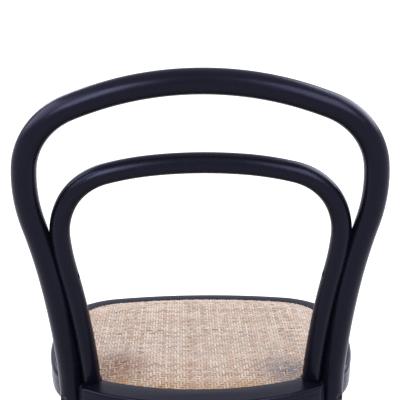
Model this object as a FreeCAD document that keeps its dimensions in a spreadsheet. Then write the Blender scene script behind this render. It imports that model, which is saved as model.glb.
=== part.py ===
import FreeCAD, Part
import math
import os
import Sketcher
from FreeCAD import Placement, Rotation, Vector

# Bentwood bistro chair: a round bow that is also the two rear legs, a hoop inside it,
# a bent seat ring with a border frame round a crowned rattan panel, two turned front
# legs and a bent brace ring between the four legs.
# Origin on the floor under the middle of the whole chair, +Z up, the sitter faces -Y.
# The pieces are drawn from the seat's own centre lines and are shifted at the end.

os.makedirs("parts", exist_ok=True)
doc = FreeCAD.newDocument("bistro_chair")

# Driving sizes in millimetres and degrees

DRIVING_SIZES = {
    # heights and the plane of the back
    "seat_height": 455.0,
    "back_lean": 15.0,
    "back_plane_from_rear": 54.4,
    # the bow, from where it starts to bend at the seat up to the crown
    "bow_diameter": 30.0,
    "bow_set_in": 43.6,
    "bow_start_height": 20.0,
    "bow_flare_angle": 2.1,
    "bow_waist_radius": 1370.0,
    "bow_waist_angle": 5.6,
    "bow_hip_radius": 835.0,
    "bow_hip_angle": 6.0,
    "bow_cheek_radius": 217.0,
    "bow_cheek_angle": 20.2,
    "bow_shoulder_radius": 94.4,
    "bow_brow_radius": 489.0,
    "bow_brow_angle": 3.4,
    "bow_crown_angle": 19.0,
    # rear legs below the seat
    "rear_bend_radius": 200.0,
    "rear_leg_rake_angle": 11.5,
    "rear_leg_splay_angle": 2.0,
    "rear_foot_diameter": 25.0,
    # the hoop, from its foot on the seat up to the crown
    "hoop_diameter": 25.0,
    "hoop_foot_gap": 0.2,
    "hoop_flare_angle": 2.2,
    "hoop_waist_radius": 1190.0,
    "hoop_waist_angle": 8.35,
    "hoop_cheek_radius": 349.0,
    "hoop_cheek_angle": 7.85,
    "hoop_elbow_radius": 96.0,
    "hoop_elbow_angle": 29.5,
    "hoop_shoulder_radius": 77.5,
    "hoop_brow_radius": 347.0,
    "hoop_brow_angle": 9.8,
    "hoop_crown_angle": 5.5,
    # outline of the seat: five arcs on each side of the middle
    "seat_front_reach": 206.0,
    "seat_rear_reach": 178.0,
    "seat_half_width": 216.0,
    "seat_widest_forward": 31.0,
    "seat_front_radius": 623.0,
    "seat_side_radius": 429.0,
    "seat_rear_radius": 318.0,
    "front_corner_radius": 94.0,
    "rear_corner_radius": 101.5,
    # tongue of the seat that reaches back between the rear legs
    "tongue_reach": 16.0,
    "tongue_radius": 282.9,
    "tongue_leg_gap": 1.5,
    "tongue_corner_radius": 6.0,
    "tongue_round": 3.0,
    # the border frame on top and the bent ring under it
    "frame_thickness": 9.0,
    "border_width": 25.0,
    "border_round": 6.0,
    "seam_round": 0.9,
    "ring_setback": 0.6,
    "ring_width": 42.0,
    "ring_depth": 29.0,
    "ring_round": 9.0,
    "foot_pad_margin": 1.1,
    "foot_pad_shift": 3.0,
    # the crowned board and the woven panel on it
    "panel_gap": 0.4,
    "panel_edge_drop": 0.5,
    "panel_thickness": 2.0,
    "crown_height": 9.0,
    "crown_corner_radius": 8.6,
    # front legs
    "front_leg_set_in": 3.0,
    "front_leg_bearing_angle": 50.0,
    "front_leg_splay_angle": 2.0,
    "front_leg_top_diameter": 38.0,
    "front_foot_diameter": 24.0,
    "tenon_diameter": 22.0,
    "tenon_length": 22.0,
    # brace ring between the legs
    "brace_diameter": 20.0,
    "brace_height": 240.0,
    "brace_let_in": 3.0,
    # nylon glides under the feet
    "glide_diameter": 20.0,
    "glide_height": 4.0,
    "glide_round": 1.5,
    "glide_pin_diameter": 3.0,
    "glide_pin_length": 12.0,
    # countersunk wood screws, all of one gauge
    "screw_diameter": 4.0,
    "screw_head_diameter": 7.6,
    "screw_tip_length": 5.0,
    "hoop_screw_length": 35.0,
    "hoop_screw_recess": 5.0,
    "hoop_screw_low": 33.0,
    "hoop_screw_high": 166.0,
    "brace_screw_length": 32.0,
    "brace_screw_recess": 1.5,
    "leg_screw_length": 30.0,
    "leg_screw_recess": 2.0,
    "seat_screw_length": 24.0,
    "seat_screw_cover": 5.0,
    "frame_screw_front_angle": 7.0,
    "frame_screw_side_angle": 1.0,
    "frame_screw_rear_angle": 10.0,
    "board_screw_side_angle": -6.0,
    # dowels that pin the hoop's feet
    "dowel_diameter": 8.0,
    "dowel_length": 30.0,
    # through bolts that hold the rear legs to the seat ring
    "bolt_diameter": 6.0,
    "bolt_head_diameter": 14.0,
    "bolt_head_height": 3.2,
    "bolt_spot_depth": 2.2,
    "bolt_end_spare": 2.0,
    "washer_diameter": 18.0,
    "washer_thickness": 1.6,
    "nut_width": 10.0,
    "nut_thickness": 5.0,
    # clearances
    "joint_gap": 0.15,
    "notch_gap": 0.25,
    "bore_gap": 0.05,
    # stock and run-out of the cutters, which leave no mark on the finished piece
    "trim_reach": 600.0,
    "trim_depth": 60.0,
    "trim_spare": 20.0,
    "tenon_root": 5.0,
    "drill_run_out": 3.0,
}

CROWN_STEPS = 4
DOME_STEPS = 5
HALVINGS = 60
SAME = 0.01

sheet = doc.addObject("Spreadsheet::Sheet", "Sizes")
for row, (name, value) in enumerate(DRIVING_SIZES.items(), start=1):
    sheet.set("A%d" % row, name)
    sheet.set("B%d" % row, str(value))
    sheet.setAlias("B%d" % row, name)
doc.recompute()


class Size:
    """A number that keeps the expression on the sheet which it comes from."""

    def __init__(self, value, text):
        self.value = value
        self.text = text

    def __add__(self, other):
        other = as_size(other)
        return Size(self.value + other.value, "(%s + %s)" % (self.text, other.text))

    def __sub__(self, other):
        other = as_size(other)
        return Size(self.value - other.value, "(%s - %s)" % (self.text, other.text))

    def __mul__(self, other):
        other = as_size(other)
        return Size(self.value * other.value, "(%s * %s)" % (self.text, other.text))

    def __truediv__(self, other):
        other = as_size(other)
        return Size(self.value / other.value, "(%s / %s)" % (self.text, other.text))

    def __neg__(self):
        return Size(-self.value, "(-1 * %s)" % self.text)

    def __float__(self):
        return float(self.value)


def as_size(number):
    if isinstance(number, Size):
        return number
    return Size(float(number), "%.9f" % number)


def size(name):
    return Size(float(sheet.get(name)), "Sizes." + name)


def least(one, two):
    return Size(min(one.value, two.value), "min(%s; %s)" % (one.text, two.text))


def bind(thing, prop, amount):
    """Tie a property or a constraint to the sheet, or set it where it is worked out here."""
    if isinstance(amount, Size):
        thing.setExpression(prop, amount.text)
    else:
        setattr(thing, prop, amount)


# Sketches and features

def sketch_in(body, name, role, offset=None):
    sketch = body.newObject("Sketcher::SketchObject", name)
    plane = [feature for feature in body.Origin.OriginFeatures if feature.Role == role][0]
    sketch.AttachmentSupport = [(plane, "")]
    sketch.MapMode = "FlatFace"
    if offset is not None:
        sketch.AttachmentOffset = offset
    return sketch


def constrain(sketch, kind, *where, amount=None):
    """Add a constraint; one with an amount is tied to the sheet."""
    if amount is None:
        sketch.addConstraint(Sketcher.Constraint(kind, *where))
        return
    index = sketch.addConstraint(Sketcher.Constraint(kind, *where, float(amount)))
    if isinstance(amount, Size):
        sketch.setExpression("Constraints[%d]" % index, amount.text)


def pin_point(sketch, curve, vertex, across, up):
    """Hold a point of a curve at its place from the sketch's origin."""
    for kind, axis, amount in (("DistanceX", -2, across), ("DistanceY", -1, up)):
        if abs(float(amount)) < 1e-9:
            constrain(sketch, "PointOnObject", curve, vertex, axis)
        else:
            constrain(sketch, kind, -1, 1, curve, vertex, amount=amount)


def turned(name, outline, base=Vector(), direction=Vector(0, 0, 1)):
    """A round piece: an outline of (radius, height) points revolved about its own Z axis."""
    body = doc.addObject("PartDesign::Body", name)
    sketch = sketch_in(body, name + "_outline", "XZ_Plane")
    points = [Vector(float(across), float(up), 0) for across, up in outline]
    count = len(points)
    for index in range(count):
        line = Part.LineSegment(points[index], points[(index + 1) % count])
        sketch.addGeometry(line, False)
    for index in range(count):
        constrain(sketch, "Coincident", index, 2, (index + 1) % count, 1)
        pin_point(sketch, index, 1, *outline[index])
    turn = body.newObject("PartDesign::Revolution", name + "_turn")
    turn.Profile = sketch
    turn.ReferenceAxis = (sketch, ["V_Axis"])
    turn.Angle = 360.0
    body.Placement = Placement(base, Rotation(Vector(0, 0, 1), direction))
    return body


def cylinder(name, radius, height, base, direction=Vector(0, 0, 1)):
    solid = doc.addObject("Part::Cylinder", name)
    bind(solid, "Radius", radius)
    bind(solid, "Height", height)
    solid.Placement = Placement(base, Rotation(Vector(0, 0, 1), direction))
    return solid


def slab(name, bottom, top):
    """A wide block between two heights, for level cuts."""
    reach = float(size("trim_reach"))
    solid = doc.addObject("Part::Box", name)
    solid.Length = 2 * reach
    solid.Width = 2 * reach
    solid.Height = float(top) - float(bottom)
    solid.Placement = Placement(Vector(-reach, -reach, float(bottom)), Rotation())
    return solid


def group(name, solids):
    together = doc.addObject("Part::Compound", name)
    together.Links = solids
    return together


def cut(name, base, tools):
    result = doc.addObject("Part::Cut", name)
    result.Base = base
    result.Tool = tools[0] if len(tools) == 1 else group(name + "_tools", tools)
    return result


def fuse(name, solids):
    result = doc.addObject("Part::MultiFuse", name)
    result.Shapes = solids
    result.Refine = True
    return result


def mirrored(name, source):
    result = doc.addObject("Part::Mirroring", name)
    result.Source = source
    result.Normal = Vector(1, 0, 0)
    return result


def both_sides(point_or_direction):
    """The same place on the sitter's left (+X) and right (-X)."""
    vector = point_or_direction
    return {"left": vector, "right": Vector(-vector.x, vector.y, vector.z)}


# Arched rods of the back

def arch_arcs(foot_x, foot_s, flare, bends):
    """Arcs of half an arch, from its foot up to the middle of its crown.

    foot_x and foot_s are the foot's place in the plane of the back. A bend is (radius,
    turn in degrees, side): side -1 bends outwards and +1 inwards. The crown closes the
    arch: its radius follows from what is left to turn.
    """
    arcs = []
    heading = 90.0 - float(flare)
    point = Vector(float(foot_x), float(foot_s), 0)
    for radius, turn, side in bends:
        angle = math.radians(heading)
        normal = Vector(-math.sin(angle), math.cos(angle), 0) * side
        centre = point + normal * float(radius)
        heading += side * float(turn)
        angle = math.radians(heading)
        end = centre - Vector(-math.sin(angle), math.cos(angle), 0) * side * float(radius)
        arcs.append({"centre": centre, "radius": radius, "turn": turn, "side": side,
                     "start": point, "end": end})
        point = end
    angle = math.radians(heading)
    crown_radius = point.x / math.sin(angle)
    centre = Vector(0, point.y + crown_radius * math.cos(angle), 0)
    arcs.append({"centre": centre, "radius": crown_radius, "turn": 180.0 - heading, "side": 1,
                 "start": point, "end": centre + Vector(0, crown_radius, 0)})
    return arcs


def point_on_arch(arcs, s):
    """Distance from the middle of the arch's centre line at a height s up the back."""
    for arc in arcs:
        if arc["start"].y <= s <= arc["end"].y:
            away = math.sqrt(float(arc["radius"]) ** 2 - (s - arc["centre"].y) ** 2)
            return arc["centre"].x + arc["side"] * away
    return arcs[0]["start"].x


def arch_body(name, arcs, flare, radius, tail=None):
    """A rod bent along the arcs and mirrored; tail is a straight run below the foot."""
    body = doc.addObject("PartDesign::Body", name)
    path = sketch_in(body, name + "_path", "XZ_Plane")
    ends = []
    for index, arc in enumerate(arcs):
        circle = Part.Circle(arc["centre"], Vector(0, 0, 1), float(arc["radius"]))
        first = math.atan2(arc["start"].y - arc["centre"].y, arc["start"].x - arc["centre"].x)
        last = math.atan2(arc["end"].y - arc["centre"].y, arc["end"].x - arc["centre"].x)
        if arc["side"] < 0:
            first, last = last, first
        path.addGeometry(Part.ArcOfCircle(circle, first, last), False)
        ends.append((1, 2) if arc["side"] > 0 else (2, 1))
    for index in range(len(arcs) - 1):
        constrain(path, "Tangent", index, ends[index][1], index + 1, ends[index + 1][0])
    for index, arc in enumerate(arcs[:-1]):
        constrain(path, "Radius", index, amount=arc["radius"])
        turn = arc["turn"]
        turn_amount = Size(math.radians(turn.value), "(%s * 1 deg)" % turn.text)
        constrain(path, "Angle", index, amount=turn_amount)
    pin_point(path, 0, ends[0][0], arcs[0]["start"].x, arcs[0]["start"].y)
    constrain(path, "DistanceX", -1, 1, 0, 3, amount=arcs[0]["centre"].x)
    crown = len(arcs) - 1
    constrain(path, "PointOnObject", crown, 3, -2)
    constrain(path, "PointOnObject", crown, 2, -2)
    angle = math.radians(float(flare))
    downward = Vector(-math.sin(angle), -math.cos(angle), 0)
    start = arcs[0]["start"]
    if tail is not None:
        lower = start + downward * float(tail)
        path.addGeometry(Part.LineSegment(lower, start), False)
        constrain(path, "Tangent", crown + 1, 2, 0, ends[0][0])
        constrain(path, "Distance", crown + 1, amount=tail)
        start = lower
    across_the_rod = Placement(Vector(start.x, 0, start.y), Rotation(Vector(0, 1, 0), float(flare)))
    profile = sketch_in(body, name + "_section", "XY_Plane", across_the_rod)
    profile.addGeometry(Part.Circle(Vector(), Vector(0, 0, 1), float(radius)), False)
    constrain(profile, "Coincident", 0, 3, -1, 1)
    constrain(profile, "Radius", 0, amount=radius)
    doc.recompute()
    rod = body.newObject("PartDesign::AdditivePipe", name + "_bent_rod")
    rod.Profile = profile
    rod.Spine = (path, ["Edge%d" % (index + 1) for index in range(len(path.Geometry))])
    doc.recompute()
    mirror = body.newObject("PartDesign::Mirrored", name + "_both_halves")
    mirror.Originals = [rod]
    side_plane = [feature for feature in body.Origin.OriginFeatures if feature.Role == "YZ_Plane"][0]
    mirror.MirrorPlane = (side_plane, [""])
    body.Tip = mirror
    body.Placement = back_plane
    return body


seat_top = float(size("seat_height"))
back_y = float(size("seat_rear_reach") - size("back_plane_from_rear"))
lean = float(size("back_lean"))
back_plane = Placement(Vector(0, back_y, seat_top), Rotation(Vector(1, 0, 0), -lean))


def on_back(x, s):
    """A point of the plane of the back in the chair's own frame."""
    return back_plane.multVec(Vector(x, 0, s))


def along_back(x, s):
    return back_plane.Rotation.multVec(Vector(x, 0, s))


BOW_BENDS = (("waist", -1), ("hip", -1), ("cheek", 1), ("shoulder", 1), ("brow", 1))
HOOP_BENDS = (("waist", -1), ("cheek", 1), ("elbow", 1), ("shoulder", 1), ("brow", 1))


def bends_of(rod, names):
    """The bends of half an arch; the shoulder turns by what the others leave to the crown."""
    angles = {name: size("%s_%s_angle" % (rod, name)) for name, _ in names if name != "shoulder"}
    shoulder = as_size(90.0) + size(rod + "_flare_angle") - size(rod + "_crown_angle")
    for name, side in names:
        if name in angles:
            shoulder = shoulder - angles[name] * side
    angles["shoulder"] = shoulder
    return [(size("%s_%s_radius" % (rod, name)), angles[name], side) for name, side in names]


bow_radius = size("bow_diameter") / 2
hoop_radius = size("hoop_diameter") / 2
bow_foot_x = size("seat_half_width") - size("bow_set_in")
bow_arcs = arch_arcs(bow_foot_x, size("bow_start_height"), size("bow_flare_angle"),
                     bends_of("bow", BOW_BENDS))
hoop_foot_x = bow_foot_x - bow_radius - hoop_radius - size("hoop_foot_gap")
hoop_arcs = arch_arcs(hoop_foot_x, 0.0, size("hoop_flare_angle"), bends_of("hoop", HOOP_BENDS))

# Rear legs: a bend just below the seat, then a straight tapered run to the floor

foot_level = float(size("glide_height"))
ring_top = seat_top - float(size("frame_thickness"))
ring_bottom = ring_top - float(size("ring_depth"))
bend_radius = float(size("rear_bend_radius"))
flare_angle = math.radians(float(size("bow_flare_angle")))
bend_start = on_back(float(bow_foot_x), float(size("bow_start_height")))
down_bow = along_back(-math.sin(flare_angle), -math.cos(flare_angle))
down_leg = Vector(math.tan(math.radians(float(size("rear_leg_splay_angle")))),
                  math.tan(math.radians(float(size("rear_leg_rake_angle")))), -1.0).normalize()
bend_normal = (down_leg - down_bow * down_leg.dot(down_bow)).normalize()
bend_centre = bend_start + bend_normal * bend_radius
bend_angle = math.degrees(math.acos(down_leg.dot(down_bow)))
bend_frame = Rotation(bend_normal * -1, down_bow, down_bow.cross(bend_normal), "XYZ")


def on_bend(angle):
    """Centre of the rod part way round the bend, angle in degrees from its start."""
    turned_by = math.radians(angle)
    return bend_centre + (bend_normal * -math.cos(turned_by) + down_bow * math.sin(turned_by)) * bend_radius


def bend_at_height(level):
    low, high = 0.0, bend_angle
    for _ in range(HALVINGS):
        middle = (low + high) / 2
        if on_bend(middle).z > level:
            low = middle
        else:
            high = middle
    return on_bend(low)


bend_end = on_bend(bend_angle)
rear_leg_length = (bend_end.z - foot_level) / -down_leg.z
rear_foot = bend_end + down_leg * rear_leg_length


def rear_leg_radius(level):
    share = (bend_end.z - level) / (bend_end.z - foot_level)
    return float(bow_radius) + (float(size("rear_foot_diameter")) / 2 - float(bow_radius)) * share


def rear_leg_at(level):
    return bend_end + down_leg * ((bend_end.z - level) / -down_leg.z)


def bend_solid(name, radius):
    solid = doc.addObject("Part::Torus", name)
    bind(solid, "Radius1", size("rear_bend_radius"))
    bind(solid, "Radius2", radius)
    solid.Angle3 = bend_angle
    solid.Placement = Placement(bend_centre, bend_frame)
    return solid


def rear_leg():
    spare = float(size("trim_spare"))
    leg = doc.addObject("Part::Cone", "rear_leg_taper")
    leg.Radius1 = float(bow_radius)
    leg.Radius2 = rear_leg_radius(foot_level + down_leg.z * spare)
    leg.Height = rear_leg_length + spare
    leg.Placement = Placement(bend_end, Rotation(Vector(0, 0, 1), down_leg))
    return fuse("rear_leg_left", [bend_solid("rear_bend", bow_radius), leg])


# Outline of the seat: arcs with fixed centres, so that an inset only shortens the radii

front_y = -float(size("seat_front_reach"))
rear_y = float(size("seat_rear_reach"))
widest_y = -float(size("seat_widest_forward"))


def corner_centre(centre_one, radius_one, centre_two, radius_two, radius):
    """Centre of a corner arc that runs smoothly into two larger arcs, on the +X side."""
    reach_one = radius_one - radius
    reach_two = radius_two - radius
    between = centre_two - centre_one
    span = between.Length
    along = (reach_one ** 2 - reach_two ** 2 + span ** 2) / (2 * span)
    height = math.sqrt(reach_one ** 2 - along ** 2)
    direction = between.normalize()
    side = Vector(-direction.y, direction.x, 0)
    choices = [centre_one + direction * along + side * height * sign for sign in (1, -1)]
    return max(choices, key=lambda point: point.x)


FRONT_CENTRE = Vector(0, front_y + float(size("seat_front_radius")), 0)
REAR_CENTRE = Vector(0, rear_y - float(size("seat_rear_radius")), 0)
SIDE_CENTRE = Vector(float(size("seat_half_width")) - float(size("seat_side_radius")), widest_y, 0)
FRONT_CORNER = corner_centre(FRONT_CENTRE, float(size("seat_front_radius")), SIDE_CENTRE,
                             float(size("seat_side_radius")), float(size("front_corner_radius")))
REAR_CORNER = corner_centre(SIDE_CENTRE, float(size("seat_side_radius")), REAR_CENTRE,
                            float(size("seat_rear_radius")), float(size("rear_corner_radius")))


def flipped(point):
    return Vector(-point.x, point.y, point.z)


# Anticlockwise from the front: centre, name of the radius, is its centre pinned
OUTLINE = {
    "front": (FRONT_CENTRE, "seat_front_radius", True),
    "front_left": (FRONT_CORNER, "front_corner_radius", False),
    "left": (SIDE_CENTRE, "seat_side_radius", True),
    "rear_left": (REAR_CORNER, "rear_corner_radius", False),
    "rear": (REAR_CENTRE, "seat_rear_radius", True),
    "rear_right": (flipped(REAR_CORNER), "rear_corner_radius", False),
    "right": (flipped(SIDE_CENTRE), "seat_side_radius", True),
    "front_right": (flipped(FRONT_CORNER), "front_corner_radius", False),
}
ROUND_THE_SEAT = tuple(OUTLINE.values())


def heading_of(vector):
    return math.atan2(vector.y, vector.x)


def joint_heading(index):
    """Direction in which arc index meets the next one, the same from both centres."""
    here, here_radius = ROUND_THE_SEAT[index][0], float(size(ROUND_THE_SEAT[index][1]))
    after = ROUND_THE_SEAT[(index + 1) % len(ROUND_THE_SEAT)]
    step = after[0] - here
    if here_radius < float(size(after[1])):
        step = step * -1
    return heading_of(step)


def add_outline(sketch, inset):
    """Draw the seat's outline, moved inwards by inset, into a sketch and constrain it."""
    first = len(sketch.Geometry)
    count = len(ROUND_THE_SEAT)
    for index, (centre, radius_name, _) in enumerate(ROUND_THE_SEAT):
        radius = float(size(radius_name)) - float(inset)
        begin = joint_heading(index - 1)
        end = joint_heading(index)
        if end < begin:
            end += 2 * math.pi
        circle = Part.Circle(centre, Vector(0, 0, 1), radius)
        sketch.addGeometry(Part.ArcOfCircle(circle, begin, end), False)
    for index, (centre, radius_name, pinned) in enumerate(ROUND_THE_SEAT):
        constrain(sketch, "Tangent", first + index, 2, first + (index + 1) % count, 1)
        constrain(sketch, "Radius", first + index, amount=size(radius_name) - inset)
        if pinned:
            pin_point(sketch, first + index, 3, centre.x, centre.y)


def outline_point(arc_name, bearing, inset):
    """A point on the inset outline; bearing in degrees anticlockwise from +X."""
    centre, radius_name, _ = OUTLINE[arc_name]
    reach = float(size(radius_name)) - float(inset)
    angle = math.radians(bearing)
    return centre + Vector(math.cos(angle), math.sin(angle), 0) * reach


def seat_body(name):
    body = doc.addObject("PartDesign::Body", name)
    body.setExpression("Placement.Base.z", "Sizes.seat_height")
    return body


def pad_outlines(body, name, insets, top, thickness):
    """A plate between the inset outlines, its top at a depth below the seat's top."""
    sketch = sketch_in(body, name + "_outline", "XY_Plane")
    bind(sketch, "AttachmentOffset.Base.z", top)
    for inset in insets:
        add_outline(sketch, inset)
    pad = body.newObject("PartDesign::Pad", name + "_plate")
    pad.Profile = sketch
    bind(pad, "Length", thickness)
    pad.Reversed = True
    doc.recompute()
    return pad


def edges_on(feature, level, inset):
    """Names of the edges that follow the inset outline at one level of a seat body."""
    names = []
    for number, edge in enumerate(feature.Shape.Edges, start=1):
        middle = edge.valueAt((edge.FirstParameter + edge.LastParameter) / 2)
        if abs(middle.z - float(level)) > SAME or edge.BoundBox.ZLength > SAME:
            continue
        for centre, radius_name, _ in ROUND_THE_SEAT:
            reach = math.hypot(middle.x - centre.x, middle.y - centre.y)
            same_radius = abs(reach - (float(size(radius_name)) - float(inset))) < SAME
            if same_radius and hasattr(edge.Curve, "Radius"):
                if abs(edge.Curve.Radius - reach) < SAME:
                    names.append("Edge%d" % number)
                    break
    return names


def round_edges(body, name, feature, places, radius):
    edges = []
    for level, inset in places:
        edges += edges_on(feature, level, inset)
    fillet = body.newObject("PartDesign::Fillet", name)
    fillet.Base = (feature, edges)
    bind(fillet, "Radius", radius)
    doc.recompute()
    return fillet


def crowned(body, name, bottom, edge_top):
    """A plate that fills the border's opening and swells to a crown in the middle."""
    inset = size("border_width") + size("panel_gap")
    run = least(size("front_corner_radius"), size("rear_corner_radius")) - inset - size("crown_corner_radius")
    pad_outlines(body, name, [inset], edge_top, edge_top - bottom)
    sections = []
    for step in range(CROWN_STEPS + 1):
        share = step / CROWN_STEPS
        section = sketch_in(body, "%s_section_%d" % (name, step), "XY_Plane")
        rise = size("crown_height") * (1.0 - (1.0 - share) ** 2)
        bind(section, "AttachmentOffset.Base.z", edge_top + rise)
        add_outline(section, inset + run * share)
        sections.append(section)
    doc.recompute()
    crown = body.newObject("PartDesign::AdditiveLoft", name + "_crown")
    crown.Profile = sections[0]
    crown.Sections = sections[1:]
    doc.recompute()
    return body


# Wood screws: the head's flat top is at the local origin and the tip points down

def screw_outline(length, grow, recess):
    head = size("screw_head_diameter") / 2 + grow
    shank = size("screw_diameter") / 2 + grow
    head_depth = (size("screw_head_diameter") - size("screw_diameter")) / 2
    top = as_size(recess)
    return [(0.0, top), (head, top), (head, 0.0), (shank, -head_depth),
            (shank, -(length - size("screw_tip_length"))), (0.0, -(length + grow))]


def screw(name, place, direction, length):
    outline = screw_outline(length, 0.0, 0.0)[2:]
    return turned(name, [(0.0, 0.0)] + outline, place, direction * -1)


def screw_bore(name, place, direction, length, recess):
    """The hole for a screw, open for the recess above its head."""
    outline = screw_outline(length, size("bore_gap"), recess)
    return turned(name, outline, place, direction * -1)


# Places that several pieces share

hoop_feet = both_sides(on_back(float(hoop_foot_x), 0.0))
hoop_flare = math.radians(float(size("hoop_flare_angle")))
up_hoop = both_sides(along_back(math.sin(hoop_flare), math.cos(hoop_flare)))
foot_pad_radius = hoop_radius + size("foot_pad_margin")

bolt_level = (ring_top + ring_bottom) / 2
bolt_leg_centre = bend_at_height(bolt_level)
bolt_from = Vector(REAR_CORNER.x, REAR_CORNER.y, bolt_level)
bolt_out = (bolt_leg_centre - bolt_from).normalize()
washer_reach = float(size("rear_corner_radius")) - float(size("ring_width"))
washer_face = both_sides(bolt_from + bolt_out * washer_reach)
spot_face = both_sides(bolt_leg_centre + bolt_out * (float(bow_radius) - float(size("bolt_spot_depth"))))
bolt_axis = both_sides(bolt_out)

leg_bearing = math.radians(float(size("front_leg_bearing_angle")))
leg_outward = Vector(math.cos(leg_bearing), -math.sin(leg_bearing), 0)
leg_inset = size("ring_width") / 2 + size("front_leg_set_in")
leg_reach = float(size("front_corner_radius") - leg_inset)
front_leg_top = FRONT_CORNER + leg_outward * leg_reach + Vector(0, 0, ring_bottom)
splay = math.radians(float(size("front_leg_splay_angle")))
down_front = (leg_outward * math.sin(splay) + Vector(0, 0, -math.cos(splay))).normalize()
front_leg_length = (ring_bottom - foot_level) / math.cos(splay)
front_foot = front_leg_top + down_front * front_leg_length


def front_leg_at(level):
    return front_leg_top + down_front * ((ring_bottom - level) / math.cos(splay))


def front_leg_radius(level):
    share = (ring_bottom - level) / (ring_bottom - foot_level)
    top = float(size("front_leg_top_diameter")) / 2
    return top + (float(size("front_foot_diameter")) / 2 - top) * share


# The brace ring is round: it reaches as far to the front legs as to the rear ones

brace_level = float(size("brace_height"))
brace_radius = float(size("brace_diameter")) / 2
brace_front = front_leg_at(brace_level)
brace_rear = rear_leg_at(brace_level)


def brace_reach(leg_point, leg_radius, centre_y):
    distance = math.hypot(leg_point.x, leg_point.y - centre_y)
    return distance - leg_radius - brace_radius + float(size("brace_let_in"))


low_y, high_y = rear_y, front_y
for _ in range(HALVINGS):
    brace_y = (low_y + high_y) / 2
    to_front = brace_reach(brace_front, front_leg_radius(brace_level), brace_y)
    to_rear = brace_reach(brace_rear, rear_leg_radius(brace_level), brace_y)
    if to_front > to_rear:
        low_y = brace_y
    else:
        high_y = brace_y
brace_ring_radius = brace_reach(brace_front, front_leg_radius(brace_level), brace_y)
brace_centre = Vector(0, brace_y, brace_level)


def brace_torus(name, rod_radius):
    solid = doc.addObject("Part::Torus", name)
    solid.Radius1 = brace_ring_radius
    bind(solid, "Radius2", rod_radius)
    solid.Placement = Placement(brace_centre, Rotation())
    return solid


# Screw places: (name, place of the head, driving direction)

def hoop_screw_places():
    places = []
    for level_name in ("low", "high"):
        s = float(size("hoop_screw_" + level_name))
        inner = point_on_arch(hoop_arcs, s) - float(hoop_radius) + float(size("hoop_screw_recess"))
        for side, place in both_sides(on_back(inner, s)).items():
            outward = Vector(1 if side == "left" else -1, 0, 0)
            places.append(("%s_%s" % (level_name, side), place, outward))
    return places


def brace_screw_places():
    places = []
    for end_name, leg_point in (("front", brace_front), ("rear", brace_rear)):
        for side, point in both_sides(leg_point).items():
            outward = (point - brace_centre).normalize()
            depth = brace_ring_radius - brace_radius + float(size("brace_screw_recess"))
            places.append(("%s_%s" % (end_name, side), brace_centre + outward * depth, outward))
    return places


def front_leg_screw_places():
    places = []
    level = ring_bottom + float(size("tenon_length")) / 2
    centre = FRONT_CORNER + Vector(0, 0, level)
    reach = float(size("front_corner_radius")) - float(size("ring_width"))
    head = centre + leg_outward * (reach + float(size("leg_screw_recess")))
    outwards = both_sides(leg_outward)
    for side, place in both_sides(head).items():
        places.append((side, place, outwards[side]))
    return places


def seat_screw_places(inset, spots):
    """Screws driven up from under the ring: spots are (name, arc of the outline, bearing)."""
    level = ring_bottom + float(seat_screw_recess)
    return [(name, outline_point(arc, bearing, inset) + Vector(0, 0, level), Vector(0, 0, 1))
            for name, arc, bearing in spots]


def mirrored_spots(arc_left, bearing):
    """The same spot on both sides of the seat; front and rear arcs are shared by both."""
    arc_right = {"left": "right"}.get(arc_left, arc_left)
    return [(arc_left + "_one", arc_left, bearing), (arc_right + "_two", arc_right, 180.0 - bearing)]


frame_screw_spots = (mirrored_spots("front", float(size("frame_screw_front_angle")) - 90.0)
                     + mirrored_spots("left", float(size("frame_screw_side_angle")))
                     + mirrored_spots("rear", 90.0 - float(size("frame_screw_rear_angle"))))
board_screw_spots = ([("front", "front", -90.0), ("rear", "rear", 90.0)]
                     + mirrored_spots("left", float(size("board_screw_side_angle"))))
frame_screw_inset = size("border_width") / 2
board_screw_inset = (size("border_width") + size("ring_width")) / 2
seat_screw_recess = (size("ring_depth") + size("frame_thickness") - size("seat_screw_length")
                     - size("seat_screw_cover"))

hoop_screws_at = hoop_screw_places()
brace_screws_at = brace_screw_places()
leg_screws_at = front_leg_screw_places()
frame_screws_at = seat_screw_places(frame_screw_inset, frame_screw_spots)
board_screws_at = seat_screw_places(board_screw_inset, board_screw_spots)


def screws(name, places, length):
    return group(name, [screw("%s_%s" % (name, spot), place, direction, length)
                        for spot, place, direction in places])


def screw_bores(name, places, length, recess):
    return [screw_bore("%s_%s" % (name, spot), place, direction, length, recess)
            for spot, place, direction in places]


def glide_pin_bore(name, foot):
    radius = size("glide_pin_diameter") / 2 + size("bore_gap")
    return cylinder(name, radius, size("glide_pin_length") + size("bore_gap"), foot)


def dowel_bores(name):
    half = size("dowel_length") / 2 + size("bore_gap")
    radius = size("dowel_diameter") / 2 + size("bore_gap")
    return [cylinder("%s_%s" % (name, side), radius, half * 2.0,
                     foot - up_hoop[side] * float(half), up_hoop[side])
            for side, foot in hoop_feet.items()]


def bolt_bores(name):
    """Bores for the through bolts, with a flat for the head and one for the washer."""
    tools = []
    radius = size("bolt_diameter") / 2 + size("bore_gap")
    for side in ("left", "right"):
        outward = bolt_axis[side]
        start = washer_face[side] - outward * float(size("drill_run_out"))
        run = (spot_face[side] - start).Length + float(size("drill_run_out"))
        tools.append(cylinder("%s_run_%s" % (name, side), radius, run, start, outward))
        head_room = size("bolt_head_diameter") / 2 + size("joint_gap")
        tools.append(cylinder("%s_head_%s" % (name, side), head_room,
                              size("bolt_head_height") + size("drill_run_out"), spot_face[side], outward))
        washer_room = size("washer_diameter") / 2 + size("joint_gap")
        tools.append(cylinder("%s_washer_%s" % (name, side), washer_room, size("nut_thickness"),
                              washer_face[side], outward * -1))
    return tools


def leg_notches(name):
    """Room in the seat for the two rear legs."""
    left = bend_solid(name + "_left", bow_radius + size("notch_gap"))
    return [left, mirrored(name + "_right", left)]


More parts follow.
